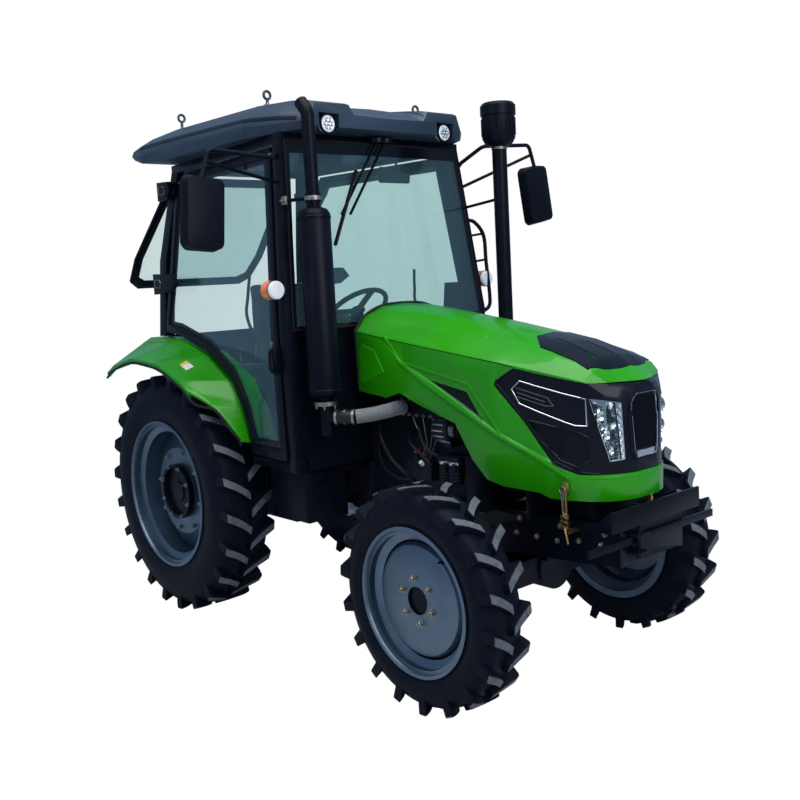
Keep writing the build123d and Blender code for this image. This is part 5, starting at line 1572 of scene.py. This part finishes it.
@dataclass
class FrontEnd(Builder):
    """The bolts on the knuckles and the brass draw latches with their wires."""

    def build(self) -> None:
        """Make the front end's fine pieces."""
        for sign in (1, -1):
            self._latch(sign)
        for side, sign in SIDES:
            self.body = self.shop.body[f"knuckle_{side}"]
            for _, a, b in around(6):
                place = (2137 + 32 * a, sign * 548 + 32 * b, 628)
                self.bolt(f"knuckle_bolts_{side}", place, UP, 0.012, 0.008)
        self.link()

    def _latch(self, sign: int) -> None:
        """Make one draw latch: a clamped block, a ring, two wires and a lever."""
        foot, head = spot(2575, sign * 300, 812), spot(2566, sign * 296, 925)
        out = Vector((0, sign * 0.006, 0))
        self.block("latch_blocks", foot, (0.017, 0.006, 0.030), None, 0.002)
        for lift in (-0.018, 0.004, 0.024):
            self.block("latch_blocks", foot + Vector((0, 0, lift - 0.0005)), (0.021, 0.009, 0.0045),
                       Matrix.Rotation(0.25, 3, "Y"), 0.0015)
        ring = [head + out + Vector((0.016 * a, 0, 0.030 + 0.013 * b)) for _, a, b in around(16)]
        self.pipe("latch_wires", ring + ring[:1], 0.0026, 8, False)
        for lean in (-0.006, 0.006):
            self.pipe("latch_wires", (head + out + Vector((lean, 0, 0.018)), head.lerp(foot, 0.5) + out * 1.4,
                                      foot + out + Vector((-lean, 0, 0.024))), 0.0024, 8)
        lever = ((0.004, 0.008, -0.02), (0.016, 0.012, -0.055), (0.024, 0.012, -0.085))
        self.pipe("latch_blocks", [foot + Vector((x, sign * y, z)) for x, y, z in lever], 0.004, 8)


@dataclass
class Interior(Builder):
    """What shows through the glass: pedals, levers, gauges, lining, mirror, mat and steering wheel trim."""

    # x, y and height of each lever's knob, and how far it leans ahead
    levers = (
        (330, -350, 1560, 24), (250, -392, 1500, -14), (180, -340, 1490, 10), (330, 350, 1530, 18),
        (240, 392, 1480, -10), (620, -120, 1330, 30), (620, 130, 1310, 20),
    )
    # piece, two corners and rounded edge
    plain_boxes = (
        ("floor_mat", (450, -600, 950.4), (1140, 600, 956), 0.001),
        ("headlining", (-150, -410, 2598), (1030, 410, 2620), 0.006),
        ("headlining", (300, -500, 2590), (1010, 500, 2618), 0.006),
        ("arm_pads", (70, 315, 1400.5), (390, 425, 1428), 0.012),
        ("arm_pads", (70, -425, 1400.5), (390, -315, 1428), 0.012),
        ("wall_lining", (-418, -470, 1160), (-408, 470, 1590), 0.004),
        ("wall_lining", (1120, -600, 1000), (1156, 600, 1440), 0.004),
    )

    def build(self) -> None:
        """Make the cab's inner pieces."""
        for name, low, high, edge in self.plain_boxes:
            self.box(name, low, high, None, edge)
        for x in range(470, 1130, 22):
            self.box("floor_mat", (x, -590, 955), (x + 8, 590, 959), None, 0.001)
        for z in range(1220, 1560, 40):
            self.box("wall_lining", (-408, -440, z), (-404, 440, z + 14), None, 0.001)
        self._pedals_and_levers()
        self._gauges()
        self._ceiling()
        self._walls()
        self._wheel()
        self.link()

    def _pedals_and_levers(self) -> None:
        """Stand three pedals and the levers with their knobs and boots."""
        for y, x in ((215, 1030), (-205, 1030), (-285, 1040)):
            self.pipe("cab_steel", ((1120, y, 1180), (1070, y, 1140), (x + 14, y, 1086)), 0.008, 10)
            turn = Matrix.Rotation(-0.9, 3, "Y")
            self.box("cab_controls", (x - 4, y - 34, 1050), (x + 8, y + 34, 1126), turn, 0.003)
        knob = ((-0.020, 0), (-0.018, 0.009), (0, 0.017), (0.016, 0.019), (0.028, 0.012), (0.032, 0))
        boot = ((0, 0.030), (0.010, 0.028), (0.014, 0.022), (0.022, 0.022), (0.028, 0.014), (0.040, 0.009),
                (0.040, 0))
        for x, y, top, lean in self.levers:
            foot = 1400 if abs(y) > 200 else 950
            rod = ((x, y, foot), (x + lean * 0.4, y, (foot + top) / 2), (x + lean, y, top))
            self.pipe("cab_steel", rod, 0.006, 10)
            self.turned("cab_knobs", knob, rod[-1], (lean * 0.01, 0, 1), 20)
            self.turned("lever_boots", boot, (x, y, foot), UP, 20)

    def _gauges(self) -> None:
        """Put rims, faces and needles on the console's three gauges."""
        facing = Vector((-0.92, 0, 0.38))
        for y, z, r in ((-66, 1524, 0.034), (66, 1524, 0.034), (0, 1530, 0.044)):
            middle = spot(1017, y, z)
            rim = ((0, r), (0.008, r), (0.010, r - 0.004), (0.004, r - 0.005))
            face = ((0.002, r - 0.004), (0.003, r - 0.006), (0.003, 0))
            self.turned("gauge_rims", rim, middle, facing, 40)
            self.turned("gauge_faces", face, middle, facing, 40)
            self.box("gauge_needles", middle + facing * 0.006 - Vector((0.001, 0.001, 0)),
                     middle + facing * 0.007 + Vector((0.001, 0.001, r * 0.7)))

    def _ceiling(self) -> None:
        """Hang the vents, the inner mirror and the visor under the lining."""
        vent = ((0, 0.045), (0.006, 0.045), (0.010, 0.036), (0.004, 0.030), (0.004, 0))
        for sign in (1, -1):
            self.turned("roof_vents", vent, (850, sign * 300, 2590), DOWN, 32)
        tilt = Matrix.Rotation(0.12, 3, "Y")
        self.box("cab_controls", (1030, 80, 2400), (1044, 300, 2486), tilt, 0.012)
        self.box("inner_mirror", (1028.4, 90, 2408), (1030.2, 290, 2478), tilt)
        self.pipe("cab_controls", ((1044, 190, 2450), (1060, 190, 2540), (1052, 190, 2600)), 0.007, 10)
        self.box("cab_controls", (1000, -420, 2480), (1010, -140, 2590), Matrix.Rotation(0.35, 3, "Y"), 0.008)

    def _walls(self) -> None:
        """Pad the cab's inner walls."""
        outline = ((-400, 1160), (400, 1160), (420, 1000), (700, 1000), (680, 1070), (590, 1240), (330, 1410),
                   (0, 1520), (-400, 1570))
        for sign in (1, -1):
            points = [spot(x, sign * 478.6, z) for x, z in outline]
            Shapes.prism(self.work("wall_lining"), points, (0, -sign * 0.006, 0), 0.002)

    def _wheel(self) -> None:
        """Add the steering wheel's hub cap and its ring."""
        self.body = self.shop.body["steering_wheel"]
        axis, middle = (-0.62, 0, 0.785), (882, 0, 1700)
        self.turned("wheel_cap", ((0.017, 0.040), (0.024, 0.038), (0.030, 0.028), (0.032, 0)),
                    middle, axis, 40)
        self.turned("wheel_ring", ((0.0175, 0.0435), (0.0205, 0.0435), (0.0205, 0.0395)), middle, axis, 48)


@dataclass
class Seat:
    """The driver's seat: two padded pieces swollen by a short cloth simulation, with piping."""

    shop: Workshop
    voxel: float = 0.006
    pressure: float = 4.0
    frames: int = 20
    cap: float = 0.012
    corner: float = 0.026
    bolster: float = 0.010

    def build(self) -> None:
        """Make the cushion, the back and their piping."""
        cushion = self._pad("seat_cushion", spot(385, 0, 1357), (0.455, 0.462, 0.098), 2, 0.010)
        back = self._pad("seat_back", spot(135, 0, 1660), (0.092, 0.432, 0.462), 0, 0.010)
        for pad in (cushion, back):
            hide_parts("seat")
        trim = Builder(self.shop, self.shop.body["seat"])
        for x, z, half, top in ((385, 1414, 214, True), (186, 1660, 200, False)):
            path = []
            for _, along, across in around(48):
                a = half * self._squarish(along)
                b = (216 if top else 214) * self._squarish(across)
                path.append((x + a, b, z) if top else (x, a, z + b))
            trim.pipe("seat_piping", path + path[:1], 0.0035, 8, False)
        trim.link()

    @staticmethod
    def _squarish(value: float) -> float:
        """Push a cosine out towards a rounded square."""
        return math.copysign(abs(value) ** 0.45, value)

    def _pad(self, name: str, centre: Vector, size, crown_axis: int, crown: float) -> bpy.types.Object:
        """Make one pad.

        Args:
            name: the piece's name.
            centre: its middle.
            size: its size before it swells.
            crown_axis: the axis along which its face is crowned.
            crown: how far the crown rises.

        Returns:
            The padded piece.
        """
        work = bmesh.new()
        bmesh.ops.create_cube(work, size=1.0, matrix=Matrix.Diagonal((*size, 1)))
        bmesh.ops.bevel(
            work, geom=list(work.edges), offset=self.corner, segments=4, profile=0.5, affect="EDGES"
        )
        bmesh.ops.subdivide_edges(work, edges=work.edges, cuts=2, use_grid_fill=True)
        others = [axis for axis in range(3) if axis != crown_axis]
        for vert in work.verts:
            if vert.co[crown_axis] > 0:
                share = 1.0
                for axis in others:
                    share *= 1 - (2 * vert.co[axis] / size[axis]) ** 2
                bolster = self.bolster * (abs(vert.co[1]) > size[1] * 0.33)
                vert.co[crown_axis] += crown * max(share, 0.0) + bolster
        bmesh.ops.translate(work, verts=work.verts, vec=centre)
        pad = self.shop.piece(to_mesh(work, name), name, self.shop.body["seat"], "seat_fabric")
        modify(pad, "REMESH", mode="VOXEL", voxel_size=self.voxel)
        self._swell(pad)
        modify(pad, "SUBSURF", levels=1, render_levels=1)
        for polygon in pad.data.polygons:
            polygon.use_smooth = True
        self.shop.paint(pad, "seat_fabric")
        return pad

    def _swell(self, pad: bpy.types.Object) -> None:
        """Blow the pad up as cloth, and hold each point within the cap of where it was."""
        before = [vert.co.copy() for vert in pad.data.vertices]
        cloth = pad.modifiers.new("Cloth", "CLOTH")
        cloth.settings.use_pressure = True
        cloth.settings.uniform_pressure_force = self.pressure
        cloth.settings.effector_weights.gravity = 0.0
        cloth.settings.quality = 5
        cloth.point_cache.frame_start = 1
        cloth.point_cache.frame_end = self.frames
        scene = bpy.context.scene
        for frame in range(1, self.frames + 1):
            scene.frame_set(frame)
        apply_modifiers(pad)
        for vert, old in zip(pad.data.vertices, before):
            move = vert.co - old
            if move.length > self.cap:
                vert.co = old + move.normalized() * self.cap
        scene.frame_set(1)


@dataclass
class Stage:
    """Camera, floor, backdrop and light."""

    lens: float = 43.8
    place: tuple[float, float, float] = (4.330, -3.422, 1.864)
    yaw: float = 139.291
    pitch: float = -6.983
    roll: float = -3.070
    sky_color: tuple[float, float, float, float] = (0.46, 0.68, 1.0, 1)
    sky_strength: float = 0.46
    floor_half: float = 30.0
    floor_color: tuple[float, float, float, float] = (0.55, 0.57, 0.60, 1)

    def build(self) -> None:
        """Set up everything around the object."""
        bpy.context.scene.view_settings.view_transform = "Standard"
        self._camera()
        self._world()
        self._floor()
        self._lights()

    def _camera(self) -> None:
        """Place the camera by its yaw, pitch and roll."""
        yaw, pitch, roll = (math.radians(v) for v in (self.yaw, self.pitch, self.roll))
        ahead = Vector((math.cos(pitch) * math.cos(yaw), math.cos(pitch) * math.sin(yaw), math.sin(pitch)))
        level = Vector((math.sin(yaw), -math.cos(yaw), 0))
        above = level.cross(ahead)
        right = math.cos(roll) * level + math.sin(roll) * above
        up = -math.sin(roll) * level + math.cos(roll) * above
        data = bpy.data.cameras.new("Camera")
        data.lens = self.lens
        data.sensor_width = 36.0
        camera = put("Camera", data)
        camera.matrix_world = Matrix((
            (right.x, up.x, -ahead.x, self.place[0]),
            (right.y, up.y, -ahead.y, self.place[1]),
            (right.z, up.z, -ahead.z, self.place[2]),
            (0, 0, 0, 1),
        ))
        bpy.context.scene.camera = camera

    @staticmethod
    def _white_to_camera(graph: Graph, shader: bpy.types.NodeSocket, plain: str) -> bpy.types.NodeSocket:
        """Mix a shader with a plain white one that only the camera sees.

        Args:
            graph: the node tree.
            shader: what lights the scene.
            plain: the white shader's type.

        Returns:
            The mixed shader's socket.
        """
        white = graph.add(plain, {"Color": (1, 1, 1, 1), "Strength": 1.0}).outputs[0]
        seen = graph.add("ShaderNodeLightPath").outputs["Is Camera Ray"]
        return graph.mix_shaders(seen, shader, white)

    def _world(self) -> None:
        """Light from all round, and plain white to the camera."""
        world = bpy.data.worlds.new("Studio")
        bpy.context.scene.world = world
        world.use_nodes = True
        graph = Graph(world.node_tree)
        sky = {"Color": self.sky_color, "Strength": self.sky_strength}
        around_all = graph.add("ShaderNodeBackground", sky).outputs[0]
        surface = self._white_to_camera(graph, around_all, "ShaderNodeBackground")
        graph.add("ShaderNodeOutputWorld", {"Surface": surface})

    def _floor(self) -> None:
        """Lay a pale floor that looks plain white to the camera."""
        mesh = bpy.data.meshes.new("Floor")
        half = self.floor_half
        corners = [(-half, -half, 0), (half, -half, 0), (half, half, 0), (-half, half, 0)]
        mesh.from_pydata(corners, [], [(0, 1, 2, 3)])
        floor = put("Floor", mesh)
        material = bpy.data.materials.new("Floor")
        material.use_nodes = True
        graph = Graph(material.node_tree)
        diffuse = graph.add("ShaderNodeBsdfDiffuse", {"Color": self.floor_color}).outputs[0]
        surface = self._white_to_camera(graph, diffuse, "ShaderNodeEmission")
        graph.add("ShaderNodeOutputMaterial", {"Surface": surface})
        mesh.materials.append(material)

    @staticmethod
    def _lights() -> None:
        """Set soft lamps above, at the front right and at the left."""
        for name, place, aim, size, watts in (
            ("Sky", (1.5, -1.0, 7.0), (0, 0, 0.8), 6.0, 430.0),
            ("Front", (6.0, -1.0, 4.0), (0.8, 0, 1.2), 3.5, 150.0),
            ("Side", (0.5, -7.0, 3.5), (0, 0, 1.2), 3.5, 22.0),
        ):
            data = bpy.data.lights.new(name, "AREA")
            data.size = size
            data.energy = watts
            data.color = (1.0, 0.98, 0.95)
            lamp = put(name, data)
            lamp.location = place
            lamp.rotation_euler = (Vector(aim) - Vector(place)).to_track_quat("-Z", "Y").to_euler()


# node, rounded edge in millimetres
PLAIN_NODES = {
    "hood": 2.0, "hood_mask": 0.0, "fenders": 2.0, "roof": 5.0, "cab_body": 0.0, "cab_frame": 2.0,
    "door_left": 1.5, "door_right": 1.5, "rear_window": 1.5, "console": 3.0, "steering_wheel": 0.0,
    "transmission": 3.0, "engine": 3.0, "front_frame": 2.0, "tow_bracket": 2.0, "front_axle": 3.0,
    "knuckle_left": 2.0, "knuckle_right": 2.0, "steering_rod": 0.0, "exhaust": 0.0, "intake": 0.0,
    "mirrors": 4.0, "signal_lamps": 2.0, "work_lamps": 0.0, "wipers": 1.0, "lift_arms": 2.0,
    "lower_links": 2.0, "lift_rods": 1.0, "side_boxes": 4.0, "draw_latches": 1.0,
    "hood_grilles": 0.0,
    "cab_glass": 0.0, "door_glass_left": 0.0, "door_glass_right": 0.0, "rear_glass": 0.0,
}


def main() -> None:
    """Build the looks in order."""
    logging.basicConfig(level=logging.INFO, format="%(name)s: %(message)s")
    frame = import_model()
    shop = Workshop(frame, MaterialShop())
    for node, bevel in PLAIN_NODES.items():
        if node in frame["nodes"]:
            piece = shop.refine(node, bevel * MM)
            log.info("%s: %d faces", piece.name, len(piece.data.polygons))
    for spec in WHEELS:
        for side in ("left", "right"):
            Wheel(shop, spec, side).build()
    for part in (HoodTrim, CabTrim, HingeCovers, Fenders, Stacks, EngineBay, FrontEnd, Interior):
        part(shop).build()
    Seat(shop).build()
    Stage().build()


if __name__ == "__main__":
    main()
